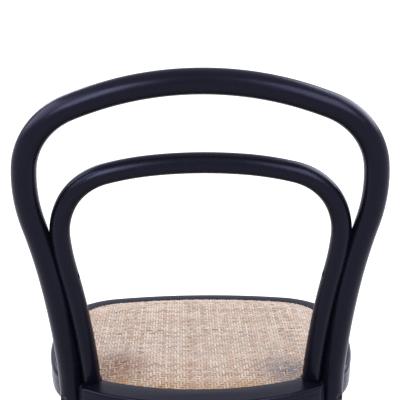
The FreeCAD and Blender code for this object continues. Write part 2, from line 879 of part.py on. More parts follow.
def tongue(name, inset, top, thickness, rounds):
    """The stretch of a seat plate that reaches back between the rear legs.

    It starts half way across the border, so that it joins the plate on a wide face. Rounds
    are (level, radius) of its outer edges.
    """
    half_width = bow_foot_x - bow_radius - size("tongue_leg_gap") - inset
    reach = size("tongue_radius") - inset
    corner = size("tongue_corner_radius") - inset
    root = size("seat_rear_radius") - size("border_width") / 2
    centre = Vector(0, rear_y + float(size("tongue_reach") - size("tongue_radius")), 0)
    across = float(half_width - corner)
    corner_at = Vector(across, centre.y + math.sqrt(float(reach - corner) ** 2 - across ** 2), 0)
    turn = heading_of(corner_at - centre)
    root_y = REAR_CENTRE.y + math.sqrt(float(root) ** 2 - float(half_width) ** 2)
    root_turn = math.atan2(root_y - REAR_CENTRE.y, float(half_width))
    wide = float(half_width)

    body = seat_body(name)
    sketch = sketch_in(body, name + "_outline", "XY_Plane")
    bind(sketch, "AttachmentOffset.Base.z", top)
    up = Vector(0, 0, 1)
    for shape in (
            Part.LineSegment(Vector(wide, root_y, 0), Vector(wide, corner_at.y, 0)),
            Part.ArcOfCircle(Part.Circle(corner_at, up, float(corner)), 0, turn),
            Part.ArcOfCircle(Part.Circle(centre, up, float(reach)), turn, math.pi - turn),
            Part.ArcOfCircle(Part.Circle(flipped(corner_at), up, float(corner)), math.pi - turn, math.pi),
            Part.LineSegment(Vector(-wide, corner_at.y, 0), Vector(-wide, root_y, 0)),
            Part.ArcOfCircle(Part.Circle(REAR_CENTRE, up, float(root)), root_turn, math.pi - root_turn)):
        sketch.addGeometry(shape, False)
    for index in range(4):
        constrain(sketch, "Tangent", index, 2, index + 1, 1)
    constrain(sketch, "Coincident", 4, 2, 5, 2)
    constrain(sketch, "Coincident", 5, 1, 0, 1)
    constrain(sketch, "Vertical", 0)
    constrain(sketch, "Vertical", 4)
    for index, radius in ((1, corner), (2, reach), (3, corner), (5, root)):
        constrain(sketch, "Radius", index, amount=radius)
    pin_point(sketch, 2, 3, 0.0, centre.y)
    pin_point(sketch, 5, 3, 0.0, REAR_CENTRE.y)
    constrain(sketch, "DistanceX", -1, 1, 0, 1, amount=half_width)
    constrain(sketch, "DistanceX", -1, 1, 4, 2, amount=-half_width)
    feature = body.newObject("PartDesign::Pad", name + "_plate")
    feature.Profile = sketch
    bind(feature, "Length", thickness)
    feature.Reversed = True
    doc.recompute()
    for number, (level, radius) in enumerate(rounds):
        edges = []
        for index, edge in enumerate(feature.Shape.Edges, start=1):
            flat = edge.BoundBox.ZLength < SAME and abs(edge.BoundBox.ZMin - float(level)) < SAME
            at_root = hasattr(edge.Curve, "Radius") and abs(edge.Curve.Radius - float(root)) < SAME
            if flat and not at_root:
                edges.append("Edge%d" % index)
        fillet = body.newObject("PartDesign::Fillet", "%s_round_%d" % (name, number))
        fillet.Base = (feature, edges)
        bind(fillet, "Radius", radius)
        doc.recompute()
        feature = fillet
    return body


# The pieces, each a function that returns the finished solid

def make_back_bow():
    arch = arch_body("bow_arch", bow_arcs, size("bow_flare_angle"), bow_radius)
    leg = rear_leg()
    whole = fuse("bow_whole", [arch, leg, mirrored("rear_leg_right", leg)])
    tools = [slab("below_rear_feet", foot_level - float(size("trim_depth")), foot_level),
             brace_torus("brace_seat_in_rear_legs", size("brace_diameter") / 2 + size("joint_gap"))]
    tools += screw_bores("bow_pilot", hoop_screws_at, size("hoop_screw_length"), size("joint_gap"))
    rear_brace_screws = [place for place in brace_screws_at if place[0].startswith("rear")]
    tools += screw_bores("rear_brace_pilot", rear_brace_screws, size("brace_screw_length"), size("joint_gap"))
    tools += bolt_bores("bow_bolt")
    for side, foot in both_sides(rear_foot).items():
        tools.append(glide_pin_bore("rear_pin_bore_" + side, foot))
    return cut("back_bow", whole, tools)


def make_back_hoop():
    arch = arch_body("hoop_arch", hoop_arcs, size("hoop_flare_angle"), hoop_radius, size("trim_spare"))
    scoop = arch_body("bow_seat_in_hoop", bow_arcs, size("bow_flare_angle"),
                      bow_radius + size("joint_gap"))
    lower_scoop = bend_solid("bow_seat_low_left", bow_radius + size("joint_gap"))
    tools = [slab("below_hoop_feet", seat_top - float(size("trim_depth")), seat_top), scoop,
             lower_scoop, mirrored("bow_seat_low_right", lower_scoop)]
    tools += screw_bores("hoop_bore", hoop_screws_at, size("hoop_screw_length"),
                         size("hoop_screw_recess") + size("drill_run_out"))
    tools += dowel_bores("hoop_dowel_bore")
    return cut("back_hoop", arch, tools)


def make_seat_frame():
    body = seat_body("frame_blank")
    pad = pad_outlines(body, "frame", [as_size(0.0), size("border_width")], as_size(0.0),
                       size("frame_thickness"))
    bottom = -size("frame_thickness")
    top_round = round_edges(body, "frame_top_round", pad, [(0.0, 0.0)], size("border_round"))
    round_edges(body, "frame_seam_round", top_round,
                [(bottom, 0.0), (0.0, size("border_width"))], size("seam_round"))
    pads = []
    for side, foot in hoop_feet.items():
        centre = foot - Vector(0, float(size("foot_pad_shift")), float(size("frame_thickness")))
        pads.append(cylinder("foot_pad_" + side, foot_pad_radius, size("frame_thickness"), centre))
    back = tongue("frame_tongue", as_size(0.0), as_size(0.0), size("frame_thickness"),
                  [(0.0, size("tongue_round")), (bottom, size("seam_round"))])
    whole = fuse("frame_with_pads", [body, back] + pads)
    tools = leg_notches("frame_notch") + dowel_bores("frame_dowel_bore")
    tools += screw_bores("frame_bore", frame_screws_at, size("seat_screw_length"), size("joint_gap"))
    return cut("seat_frame", whole, tools)


def make_seat_ring():
    body = seat_body("ring_blank")
    top = -size("frame_thickness")
    bottom = top - size("ring_depth")
    pad = pad_outlines(body, "ring", [size("ring_setback"), size("ring_width")], top, size("ring_depth"))
    lower = round_edges(body, "ring_bottom_round", pad, [(bottom, size("ring_setback"))],
                        size("ring_round"))
    round_edges(body, "ring_seam_round", lower,
                [(top, size("ring_setback")), (bottom, size("ring_width"))], size("seam_round"))
    back = tongue("ring_tongue", size("ring_setback"), top, size("ring_depth"),
                  [(bottom, size("tongue_round")), (top, size("seam_round"))])
    whole = fuse("ring_with_tongue", [body, back])
    tools = leg_notches("ring_notch") + dowel_bores("ring_dowel_bore") + bolt_bores("ring_bolt")
    tenon_room = size("tenon_diameter") / 2 + size("bore_gap")
    run_out = size("drill_run_out")
    for side, place in both_sides(front_leg_top).items():
        up_leg = both_sides(down_front * -1)[side]
        tools.append(cylinder("tenon_bore_" + side, tenon_room, size("tenon_length") + run_out,
                              place - up_leg * float(run_out), up_leg))
    tools += screw_bores("ring_leg_bore", leg_screws_at, size("leg_screw_length"),
                         size("leg_screw_recess") + run_out)
    for name, places in (("ring_frame_bore", frame_screws_at), ("ring_board_bore", board_screws_at)):
        tools += screw_bores(name, places, size("seat_screw_length"), seat_screw_recess + run_out)
    return cut("seat_ring", whole, tools)


def foot_pad_rooms(name):
    """Room in the board and the panel for the pads under the hoop's feet."""
    depth = size("trim_depth")
    return [cylinder("%s_%s" % (name, side), foot_pad_radius + size("panel_gap"), depth,
                     foot - Vector(0, float(size("foot_pad_shift")), float(depth) / 2))
            for side, foot in hoop_feet.items()]


def make_seat_board_and_panel():
    board_top = -(size("panel_edge_drop") + size("panel_thickness"))
    board = crowned(seat_body("board_blank"), "board", -size("frame_thickness"), board_top)
    cover = crowned(seat_body("panel_blank"), "panel", board_top, -size("panel_edge_drop"))
    tools = foot_pad_rooms("board_relief")
    tools += screw_bores("board_bore", board_screws_at, size("seat_screw_length"), size("joint_gap"))
    panel = cut("rattan_panel", cover, [board] + foot_pad_rooms("panel_relief"))
    return cut("seat_board", board, tools), panel


def make_front_leg(side):
    place = both_sides(front_leg_top)[side]
    up_leg = both_sides(down_front * -1)[side]
    spare = float(size("trim_spare"))
    slope = (front_leg_radius(ring_bottom) - front_leg_radius(foot_level)) / front_leg_length
    top_radius = front_leg_radius(ring_bottom) + slope * spare
    foot_radius = front_leg_radius(foot_level) - slope * spare
    shaft = turned("front_shaft_" + side,
                   [(0.0, spare), (top_radius, spare), (foot_radius, -front_leg_length - spare),
                    (0.0, -front_leg_length - spare)], place, up_leg)
    depth = float(size("trim_depth"))
    level_ends = [slab("above_leg_" + side, ring_bottom, ring_bottom + depth),
                  slab("below_leg_" + side, foot_level - depth, foot_level)]
    trimmed = cut("front_trimmed_" + side, shaft, level_ends)
    root = size("tenon_root")
    tenon = cylinder("tenon_" + side, size("tenon_diameter") / 2, size("tenon_length") + root,
                     place - up_leg * float(root), up_leg)
    whole = fuse("front_whole_" + side, [trimmed, tenon])
    tools = [brace_torus("brace_seat_in_front_" + side, size("brace_diameter") / 2 + size("joint_gap"))]
    tools += screw_bores("front_brace_pilot_" + side,
                         [spot for spot in brace_screws_at if spot[0] == "front_" + side],
                         size("brace_screw_length"), size("joint_gap"))
    tools += screw_bores("tenon_pilot_" + side, [spot for spot in leg_screws_at if spot[0] == side],
                         size("leg_screw_length"), size("joint_gap"))
    tools.append(glide_pin_bore("front_pin_bore_" + side, both_sides(front_foot)[side]))
    return cut("front_leg_" + side, whole, tools)


def make_brace_ring():
    ring = brace_torus("brace_blank", size("brace_diameter") / 2)
    tools = screw_bores("brace_bore", brace_screws_at, size("brace_screw_length"),
                        size("brace_screw_recess") + size("drill_run_out"))
    return cut("brace_ring", ring, tools)


def make_glide(name, foot):
    radius = size("glide_diameter") / 2
    corner = size("glide_round")
    pin = size("glide_pin_diameter") / 2
    height = size("glide_height")
    return turned(name, [(0.0, 0.0), (radius - corner, 0.0), (radius, corner), (radius, height),
                         (pin, height), (pin, height + size("glide_pin_length")),
                         (0.0, height + size("glide_pin_length"))],
                  Vector(foot.x, foot.y, 0))


def make_dowels():
    half = float(size("dowel_length")) / 2
    return group("hoop_dowels", [
        cylinder("dowel_" + side, size("dowel_diameter") / 2, size("dowel_length"),
                 foot - up_hoop[side] * half, up_hoop[side])
        for side, foot in hoop_feet.items()])


def make_bolts():
    """Domed bolt heads on the legs; the shank ends just past the nut."""
    bolts = []
    shank = size("bolt_diameter") / 2
    head = size("bolt_head_diameter") / 2
    stack = (spot_face["left"] - washer_face["left"]).Length
    length = size("washer_thickness") + size("nut_thickness") + size("bolt_end_spare") + stack
    dome = []
    for step in range(DOME_STEPS + 1):
        angle = math.radians(90.0 * step / DOME_STEPS)
        dome.append((head * math.sin(angle), size("bolt_head_height") * math.cos(angle)))
    for side in ("left", "right"):
        outline = [(0.0, -length)] + dome + [(shank, 0.0), (shank, -length)]
        bolts.append(turned("bolt_" + side, outline, spot_face[side], bolt_axis[side]))
    return group("rear_leg_bolts", bolts)


def make_washers():
    hole = size("bolt_diameter") / 2 + size("bore_gap")
    rim = size("washer_diameter") / 2
    thick = size("washer_thickness")
    return group("rear_leg_washers", [
        turned("washer_" + side, [(hole, 0.0), (rim, 0.0), (rim, thick), (hole, thick)],
               washer_face[side], bolt_axis[side] * -1)
        for side in ("left", "right")])


def make_nuts():
    nuts = []
    for side in ("left", "right"):
        inward = bolt_axis[side] * -1
        place = washer_face[side] + inward * float(size("washer_thickness"))
        prism = doc.addObject("Part::Prism", "nut_blank_" + side)
        prism.Polygon = 6
        bind(prism, "Circumradius", size("nut_width") / math.sqrt(3.0))
        bind(prism, "Height", size("nut_thickness"))
        prism.Placement = Placement(place, Rotation(Vector(0, 0, 1), inward))
        run_out = size("drill_run_out")
        hole = cylinder("nut_hole_" + side, size("bolt_diameter") / 2 + size("bore_gap"),
                        size("nut_thickness") + run_out * 2, place - inward * float(run_out), inward)
        nuts.append(cut("nut_" + side, prism, [hole]))
    return group("rear_leg_nuts", nuts)


board, panel = make_seat_board_and_panel()
pieces = {
    "back_bow": make_back_bow(),
    "back_hoop": make_back_hoop(),
    "seat_frame": make_seat_frame(),
    "seat_ring": make_seat_ring(),
    "seat_board": board,
    "rattan_panel": panel,
    "front_leg_left": make_front_leg("left"),
    "front_leg_right": make_front_leg("right"),
    "brace_ring": make_brace_ring(),
    "hoop_dowels": make_dowels(),
    "hoop_screws": screws("hoop_screws", hoop_screws_at, size("hoop_screw_length")),
    "brace_screws": screws("brace_screws", brace_screws_at, size("brace_screw_length")),
    "front_leg_screws": screws("front_leg_screws", leg_screws_at, size("leg_screw_length")),
    "seat_frame_screws": screws("seat_frame_screws", frame_screws_at, size("seat_screw_length")),
    "seat_board_screws": screws("seat_board_screws", board_screws_at, size("seat_screw_length")),
    "rear_leg_bolts": make_bolts(),
    "rear_leg_washers": make_washers(),
    "rear_leg_nuts": make_nuts(),
}
for end_name, foot_point in (("front", front_foot), ("rear", rear_foot)):
    for side, foot_place in both_sides(foot_point).items():
        node = "glide_%s_%s" % (end_name, side)
        pieces[node] = make_glide(node, foot_place)

doc.recompute()

for item in doc.Objects:
    if "Invalid" in item.State or "Error" in item.State:
        raise RuntimeError("%s failed: %s" % (item.Label, item.State))
for node, piece in pieces.items():
    piece.Label = node
    if piece.Shape.isNull() or not piece.Shape.isValid():
        raise RuntimeError("%s has no valid shape" % node)

# The origin goes on the floor under the middle of the whole chair

boxes = [piece.Shape.optimalBoundingBox(True, False) for piece in pieces.values()]
middle_y = (min(box.YMin for box in boxes) + max(box.YMax for box in boxes)) / 2
to_middle = Placement(Vector(0, -middle_y, 0), Rotation())
print("middle of the chair is at y = %.3f of the seat's centre lines" % middle_y)

for node, piece in pieces.items():
    piece.Placement = to_middle.multiply(piece.Placement)
    box = piece.Shape.optimalBoundingBox(True, False)
    print("%-18s %d solid(s) %9.1f cm3  x %.1f..%.1f  y %.1f..%.1f  z %.1f..%.1f" % (
        node, len(piece.Shape.Solids), piece.Shape.Volume / 1000, box.XMin, box.XMax,
        box.YMin, box.YMax, box.ZMin, box.ZMax))
    piece.Shape.exportStep("parts/%s.step" % node)
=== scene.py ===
import math

import bmesh
import bpy
import numpy as np
from mathutils import Matrix, Quaternion, Vector


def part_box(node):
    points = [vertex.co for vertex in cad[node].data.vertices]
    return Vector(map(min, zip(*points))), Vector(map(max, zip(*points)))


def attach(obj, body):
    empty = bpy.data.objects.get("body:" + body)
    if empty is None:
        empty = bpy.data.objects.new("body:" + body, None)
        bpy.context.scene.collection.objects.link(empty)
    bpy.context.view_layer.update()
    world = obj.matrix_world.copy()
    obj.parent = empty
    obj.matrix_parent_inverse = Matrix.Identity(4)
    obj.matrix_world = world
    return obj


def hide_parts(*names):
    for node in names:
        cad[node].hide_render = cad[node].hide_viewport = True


# A bentwood bistro chair in black lacquer, with a woven rattan seat, seen from behind.
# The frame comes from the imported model: metres, +Z up, the sitter faces -Y.

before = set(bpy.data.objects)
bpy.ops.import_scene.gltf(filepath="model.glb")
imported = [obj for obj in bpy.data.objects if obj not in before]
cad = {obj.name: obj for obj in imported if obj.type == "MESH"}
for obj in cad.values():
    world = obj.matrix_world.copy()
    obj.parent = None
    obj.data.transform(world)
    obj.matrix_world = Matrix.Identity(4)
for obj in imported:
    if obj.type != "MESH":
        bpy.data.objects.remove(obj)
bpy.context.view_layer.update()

MM = 0.001
ACROSS, UP = Vector((1, 0, 0)), Vector((0, 0, 1))


# Short calls for node trees, which all work on the tree that was begun last

BEGUN = []


def paint(code):
    """Linear colour of an sRGB hex code."""
    parts = [int(code[start:start + 2], 16) / 255 for start in (1, 3, 5)]
    return (*(c / 12.92 if c <= 0.04045 else ((c + 0.055) / 1.055) ** 2.4 for c in parts), 1.0)


def link(source, target):
    BEGUN[-1].links.new(source, target)


def add(kind, feeds=None, **settings):
    """Put a node in the tree. feeds maps an input's name or number to a socket, a value or
    the hex code of a colour."""
    node = BEGUN[-1].nodes.new(kind)
    for key, value in settings.items():
        setattr(node, key, value)
    for key, value in (feeds or {}).items():
        if isinstance(value, bpy.types.NodeSocket):
            link(value, node.inputs[key])
        else:
            is_colour = isinstance(value, str) and value.startswith("#")
            node.inputs[key].default_value = paint(value) if is_colour else value
    return node


def result(kind, feeds=None, output=0, **settings):
    """One output of a new node."""
    return add(kind, feeds, **settings).outputs[output]


def geo(kind, feeds=None, output=0, **settings):
    return result("GeometryNode" + kind, feeds, output, **settings)


def math_of(operation, *values):
    return result("ShaderNodeMath", dict(enumerate(values)), operation=operation)


def times(one, two):
    return math_of("MULTIPLY", one, two)


def minus(one, two):
    return math_of("SUBTRACT", one, two)


def vector_math(operation, feeds, output=0):
    return result("ShaderNodeVectorMath", feeds, output, operation=operation)


def parts_of(vector):
    return add("ShaderNodeSeparateXYZ", {0: vector}).outputs


def vector_of(*parts):
    return result("ShaderNodeCombineXYZ", dict(enumerate(parts)))


def spread(value, low, high, to_low=0.0, to_high=1.0):
    """Map the range low..high to to_low..to_high and clamp it there."""
    return result("ShaderNodeMapRange", {0: value, 1: low, 2: high, 3: to_low, 4: to_high})


def mixed(share, low, high):
    return result("ShaderNodeMix", {0: share, 6: low, 7: high}, 2, data_type="RGBA")


def speckle(where, grain, detail=2.0):
    """Soft noise whose blobs are about one grain across, in metres."""
    feeds = {"Vector": where, "Scale": 1.0 / grain, "Detail": detail, "Roughness": 0.5}
    return result("ShaderNodeTexNoise", feeds, "Fac")


def stretched(where, factors):
    return result("ShaderNodeMapping", {"Vector": where, "Scale": factors})


def bump(height, depth, under=None):
    feeds = {"Height": height, "Distance": depth, "Strength": 1.0}
    if under is not None:
        feeds["Normal"] = under
    return result("ShaderNodeBump", feeds)


def place_of():
    return result("ShaderNodeTexCoord", output="Object")


def new_finish(name, colour, roughness, specular, metallic=0.0):
    """Begin a material with its shader's constants set; returns it and the shader's inputs."""
    material = bpy.data.materials.new(name)
    material.use_nodes = True
    BEGUN.append(material.node_tree)
    inputs = material.node_tree.nodes["Principled BSDF"].inputs
    for label, value in (("Base Color", paint(colour)), ("Roughness", roughness),
                         ("Specular IOR Level", specular), ("Metallic", metallic)):
        inputs[label].default_value = value
    return material, inputs


# Materials


def black_lacquer():
    """Bent beech under satin black lacquer: a blue-black film with faint orange peel."""
    material, inputs = new_finish("satin_black_lacquer_on_beech", "#12121d", 0.27, 0.13)
    inputs["Specular Tint"].default_value = paint("#dcdfff")
    place = place_of()
    clouds = speckle(place, 30 * MM)
    link(mixed(clouds, "#11101b", "#171625"), inputs["Base Color"])
    matt_patches = speckle(place, 22 * MM, 4.0)
    link(spread(matt_patches, 0.3, 0.7, 0.24, 0.3), inputs["Roughness"])
    peel, sweep_marks = speckle(place, 1.4 * MM), speckle(place, 9 * MM)
    link(bump(peel, 0.01 * MM, bump(sweep_marks, 0.02 * MM)), inputs["Normal"])
    return material


# The stains of the seat's rear corners: middle, reach and colour
CORNER_STAINS = (((0.115, 0.075, 0.459), 60 * MM, "#83583f"),
                 ((-0.112, 0.088, 0.459), 50 * MM, "#747a86"))


def rattan():
    """Split rattan: pale pinkish peel with long fibres, some strips browner or greyer, painted
    shade with some dust where a strip dives under and along each strip's sides, a golden rim at the
    rear and a few dark specks."""
    material, inputs = new_finish("woven_rattan_strip", "#d6c0b4", 0.55, 0.3)

    def stored(name, output="Fac"):
        return result("ShaderNodeAttribute", None, output, attribute_name=name)

    own_tone, brown, grey = parts_of(stored("strip", "Vector"))
    run, sunk, rim = stored("run", "Vector"), stored("sunk"), stored("rim")
    across = math_of("ABSOLUTE", parts_of(run)[1])
    place = place_of()
    backwards = parts_of(place)[1]
    # One strip's peel changes tone every few centimetres
    lengths = speckle(stretched(run, (0.06, 1.0, 1.0)), 1.6 * MM, 1.0)
    tone = math_of("ADD", own_tone, spread(lengths, 0.3, 0.7, -0.45, 0.45))
    colour = mixed(spread(tone, 0.0, 1.0), "#d8ae8e", "#fff3e9")
    patches = speckle(stretched(run, (0.25, 1.0, 1.0)), 9 * MM, 1.0)
    patches = spread(patches, 0.42, 0.58)
    colour = mixed(times(brown, patches), colour, "#9b6f52")
    colour = mixed(times(grey, patches), colour, "#8d919b")
    # The rear rim has gone golden, most of all in its last two centimetres
    at_rim = times(spread(rim, 8 * MM, 26 * MM, 1.0, 0.0),
                   spread(backwards, 60 * MM, 120 * MM, 0.0, 0.75))
    golden = math_of("MAXIMUM", at_rim, spread(backwards, 20 * MM, 160 * MM, 0.0, 0.35))
    blotches = spread(speckle(place, 14 * MM, 1.0), 0.35, 0.6, 0.45, 1.1)
    colour = mixed(times(golden, blotches), colour, "#d3a674")
    # One rear corner is stained brown and the other grey, strip by strip
    by_strip = spread(lengths, 0.42, 0.55, 0.1, 1.0)
    for middle, reach, stain in CORNER_STAINS:
        away = vector_math("DISTANCE", {0: place, 1: middle}, "Value")
        share = times(spread(away, 8 * MM, reach, 1.0, 0.0), by_strip)
        colour = mixed(share, colour, stain)
    fibre = speckle(stretched(run, (0.05, 1.0, 1.0)), 0.35 * MM, 3.0)
    colour = mixed(spread(fibre, 0.4, 0.75, 0.0, 0.4), colour, "#b08a70")
    # Painted shade with some dust: darker where a strip dives under another and towards each
    # strip's sides
    dust_and_painted_shade = math_of("MAXIMUM", spread(sunk, 0.45, 0.9, 0.0, 0.7),
                   spread(across, 1.1 * MM, 1.6 * MM, 0.0, 0.4))
    colour = mixed(dust_and_painted_shade, colour, "#8a7164")
    dots = add("ShaderNodeTexVoronoi", {"Vector": place, "Scale": 1 / (22 * MM)},
               voronoi_dimensions="2D").outputs
    rare = result("ShaderNodeSeparateColor", {0: dots["Color"]})
    speck = times(math_of("LESS_THAN", dots["Distance"], 0.045),
                  math_of("GREATER_THAN", rare, 0.55))
    link(mixed(speck, colour, "#2a2226"), inputs["Base Color"])
    link(bump(fibre, 0.06 * MM), inputs["Normal"])
    return material


def plywood():
    """Sanded birch: pale tan with a slightly darker figure that runs from front to rear."""
    material, inputs = new_finish("sanded_birch_plywood", "#c9a67a", 0.6, 0.3)
    figure = speckle(stretched(place_of(), (1.0, 0.08, 1.0)), 3 * MM, 4.0)
    link(mixed(figure, "#b48d5f", "#d9bb92"), inputs["Base Color"])
    link(bump(figure, 0.05 * MM), inputs["Normal"])
    return material


def plain_finish(name, colour, roughness, specular, metallic):
    """One even colour whose sheen varies a little from spot to spot, as on handled parts."""
    material, inputs = new_finish(name, colour, roughness, specular, metallic)
    wear = speckle(place_of(), 2 * MM, 3.0)
    sheen = spread(wear, 0.3, 0.7, roughness - 0.08, roughness + 0.08)
    link(sheen, inputs["Roughness"])
    link(bump(wear, 0.01 * MM), inputs["Normal"])
    return material


LACQUER = black_lacquer()
RATTAN = rattan()
PLYWOOD = plywood()
# Turned beech: pale and dull, with an even sheen
DOWEL = plain_finish("turned_beech_dowel", "#c8a578", 0.6, 0.3, 0.0)
# Phosphated steel: a dry, dark grey black with a faint metal gleam
BLACK_STEEL = plain_finish("black_phosphated_steel", "#17171a", 0.45, 0.5, 0.6)
# Zinc plate: an even pale grey that gleams softly
ZINC = plain_finish("zinc_plated_steel", "#b9bab8", 0.35, 0.5, 1.0)
# Moulded nylon: soft black, dull as worn plastic is
NYLON = plain_finish("moulded_black_nylon", "#1a1a1b", 0.6, 0.4, 0.0)

# Finishes of the CAD nodes by a part of their names, of which the last fits; the rest is lacquer
FINISHES = {"seat_board": PLYWOOD, "rattan_panel": RATTAN, "hoop_dowels": DOWEL,
            "_screws": BLACK_STEEL, "_washers": ZINC, "_nuts": ZINC, "glide_": NYLON}
for name, node in cad.items():
    fits = [LACQUER] + [finish for part, finish in FINISHES.items() if part in name]
    node.data.materials.clear()
    node.data.materials.append(fits[-1])


# Helpers for meshes and for trees of Geometry Nodes


def placed(name, data):
    """A new object in the scene, at the origin."""
    thing = bpy.data.objects.new(name, data)
    bpy.context.scene.collection.objects.link(thing)
    return thing


def discard(things):
    for thing in things:
        bpy.data.objects.remove(thing)


def dress(piece, node=None):
    """Let a finished piece stand for a node of the CAD model. If none is given, the piece's name
    is that of its node and one more word."""
    node = node or piece.name.rsplit("_", 1)[0]
    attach(piece, "root")
    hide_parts(node)


def helper_object(name, points, edges=(), faces=(), **layers):
    """A mesh that only feeds a geometry tree and is removed again. Its points can carry
    layers of named numbers or vectors."""
    mesh = bpy.data.meshes.new(name)
    mesh.from_pydata([tuple(p) for p in points], edges, faces)
    for label, values in layers.items():
        if isinstance(values[0], (int, float)):
            mesh.attributes.new(label, "FLOAT", "POINT").data.foreach_set("value", values)
        else:
            flat = [part for value in values for part in value]
            mesh.attributes.new(label, "FLOAT_VECTOR", "POINT").data.foreach_set("vector", flat)
    return placed(name, mesh)


def line_object(name, points, closed=False, **layers):
    """A chain of edges."""
    count = len(points)
    edges = [(index, (index + 1) % count) for index in range(count if closed else count - 1)]
    return helper_object(name, points, edges, **layers)


def geometry_tree(name, **inputs):
    """Begin a geometry tree and return its input sockets. inputs gives their names by their
    kind; a material is one more in every tree."""
    tree = bpy.data.node_groups.new(name, "GeometryNodeTree")
    BEGUN.append(tree)
    for kind, names in {**inputs, "Material": "Material"}.items():
        for label in names.split():
            tree.interface.new_socket(label, in_out="INPUT", socket_type="NodeSocket" + kind)
    tree.interface.new_socket("Geometry", in_out="OUTPUT", socket_type="NodeSocketGeometry")
    return add("NodeGroupInput").outputs


def finish_tree(geometry, given):
    """End the tree with its geometry as one mesh in the given material, and return it."""
    whole = geo("RealizeInstances", {"Geometry": geometry})
    whole = geo("SetMaterial", {"Geometry": whole, "Material": given["Material"]})
    add("NodeGroupOutput", {0: whole})
    return BEGUN[-1]


def grown(name, tree, source, **values):
    """Run a geometry tree on a source object and keep the result as a plain mesh object."""
    modifier = source.modifiers.new("tree", "NODES")
    modifier.node_group = tree
    for socket in tree.interface.items_tree:
        if socket.in_out == "INPUT" and socket.name in values:
            modifier[socket.identifier] = values[socket.name]
    evaluated = source.evaluated_get(bpy.context.evaluated_depsgraph_get())
    mesh = bpy.data.meshes.new_from_object(evaluated)
    mesh.name = name
    source.modifiers.clear()
    discard([source])
    return placed(name, mesh)


def shape_of(thing):
    return geo("ObjectInfo", {"Object": thing}, "Geometry")


def as_curve(mesh):
    return geo("MeshToCurve", {"Mesh": mesh})


def kept(name, kind="FLOAT"):
    """Read a named attribute."""
    return geo("InputNamedAttribute", {"Name": name}, data_type=kind)


def keep(geometry, name, value, kind="FLOAT"):
    """Store a value on the points of a geometry under a name."""
    feeds = {"Geometry": geometry, "Name": name, "Value": value}
    return geo("StoreNamedAttribute", feeds, data_type=kind, domain="POINT")


def softened(mesh, degrees=35.0):
    """Shade a mesh smooth, but leave its real corners crisp."""
    gentle = math_of("LESS_THAN", geo("InputMeshEdgeAngle"), math.radians(degrees))
    for domain, smooth in (("FACE", True), ("EDGE", gentle)):
        feeds = {"Geometry": mesh, "Shade Smooth": smooth}
        mesh = geo("SetShadeSmooth", feeds, domain=domain)
    return mesh


def swept(curve, section):
    """Carry a section along a curve. The mesh keeps "run": how far along the curve a point
    is, and its place across the section, so that a grain can follow the piece."""
    girth = kept("girth")
    curve = keep(curve, "along", geo("SplineParameter", None, "Length"))
    curve = keep(curve, "thickness", girth)
    ring = keep(as_curve(section), "spot", geo("InputPosition"), "FLOAT_VECTOR")
    feeds = {"Curve": curve, "Profile Curve": ring, "Scale": girth, "Fill Caps": True}
    mesh = geo("CurveToMesh", feeds)
    spot, thickness = parts_of(kept("spot", "FLOAT_VECTOR")), kept("thickness")
    run = vector_of(kept("along"), times(spot[0], thickness),
                    times(spot[1], thickness))
    return keep(mesh, "run", run, "FLOAT_VECTOR")


def swept_tree():
    """A piece of one section: path, section and finish are its inputs."""
    given = geometry_tree("swept_piece", Geometry="Path", Object="Section")
    level = result("FunctionNodeCompare", {0: kept("level"), 1: 0.5},
                   operation="GREATER_THAN")
    feeds = {"Curve": as_curve(given["Path"]), "Selection": level}
    curve = geo("SetCurveNormal", feeds, mode="Z_UP")
    mesh = swept(curve, shape_of(given["Section"]))
    return finish_tree(softened(mesh), given)


def fitted(piece, operation, shapes):
    """Cut shapes out of a lacquered piece, or join them to it."""
    labels = ["Shape%d" % number for number in range(len(shapes))]
    given = geometry_tree("fitted_" + operation.lower(), Geometry="Piece",
                                Object=" ".join(labels))
    join = add("GeometryNodeMeshBoolean", operation=operation, solver="MANIFOLD")
    body = join.inputs["Mesh 1" if operation == "DIFFERENCE" else "Mesh 2"]
    link(given["Piece"], body)
    for label in labels:
        link(shape_of(given[label]), join.inputs["Mesh 2"])
    tree = finish_tree(softened(join.outputs["Mesh"]), given)
    name = piece.name
    piece.name = name + "_blank"
    return grown(name, tree, piece, Material=LACQUER, **dict(zip(labels, shapes)))


def arc_points(centre, radius, begin, end, count):
    """Points of an arc, with both its ends."""
    angles = [begin + (end - begin) * k / count for k in range(count + 1)]
    return [(centre[0] + radius * math.cos(a), centre[1] + radius * math.sin(a)) for a in angles]


def section_object(name, points):
    """A closed section. On a level path its x points inwards and its y up."""
    return line_object(name, [(-x, -y, 0) for x, y in points], closed=True)


def round_section(count):
    return section_object("round_section", arc_points((0, 0), 1.0, 0.0, 2 * math.pi, count)[:-1])


SWEPT = swept_tree()


def sweep(name, points, girth, section, material=LACQUER, closed=False, level=False):
    """Make a piece by carrying a section along points; girth is one scale or one a point."""
    if not isinstance(girth, list):
        girth = [girth] * len(points)
    levels = [float(level)] * len(points)
    path = line_object(name + "_path", points, closed, girth=girth, level=levels)
    return grown(name, SWEPT, path, Section=section, Material=material)


def shapes_object(name, build):
    """A helper mesh made by bmesh calls in build(bm)."""
    bm = bmesh.new()
    build(bm)
    mesh = bpy.data.meshes.new(name)
    bm.to_mesh(mesh)
    bm.free()
    return placed(name, mesh)


def slab(name, low, high):
    """A wide block between two heights, for level cuts."""
    def build(bm):
        size = Matrix.Diagonal((1.0, 1.0, high - low, 1.0))
        place = Matrix.Translation((0, 0, (low + high) / 2)) @ size
        bmesh.ops.create_cube(bm, size=1.0, matrix=place)
    return shapes_object(name, build)


def drills(name, holes, sides=32):
    """Round cutters: each is (start, direction, radius, length)."""
    def build(bm):
        for start, direction, radius, length in holes:
            turn = direction.to_track_quat("Z", "Y").to_matrix().to_4x4()
            place = Matrix.Translation(start + direction * (length / 2)) @ turn
            bmesh.ops.create_cone(bm, cap_ends=True, segments=sides, radius1=radius, radius2=radius,
                                  depth=length, matrix=place)
    return shapes_object(name, build)


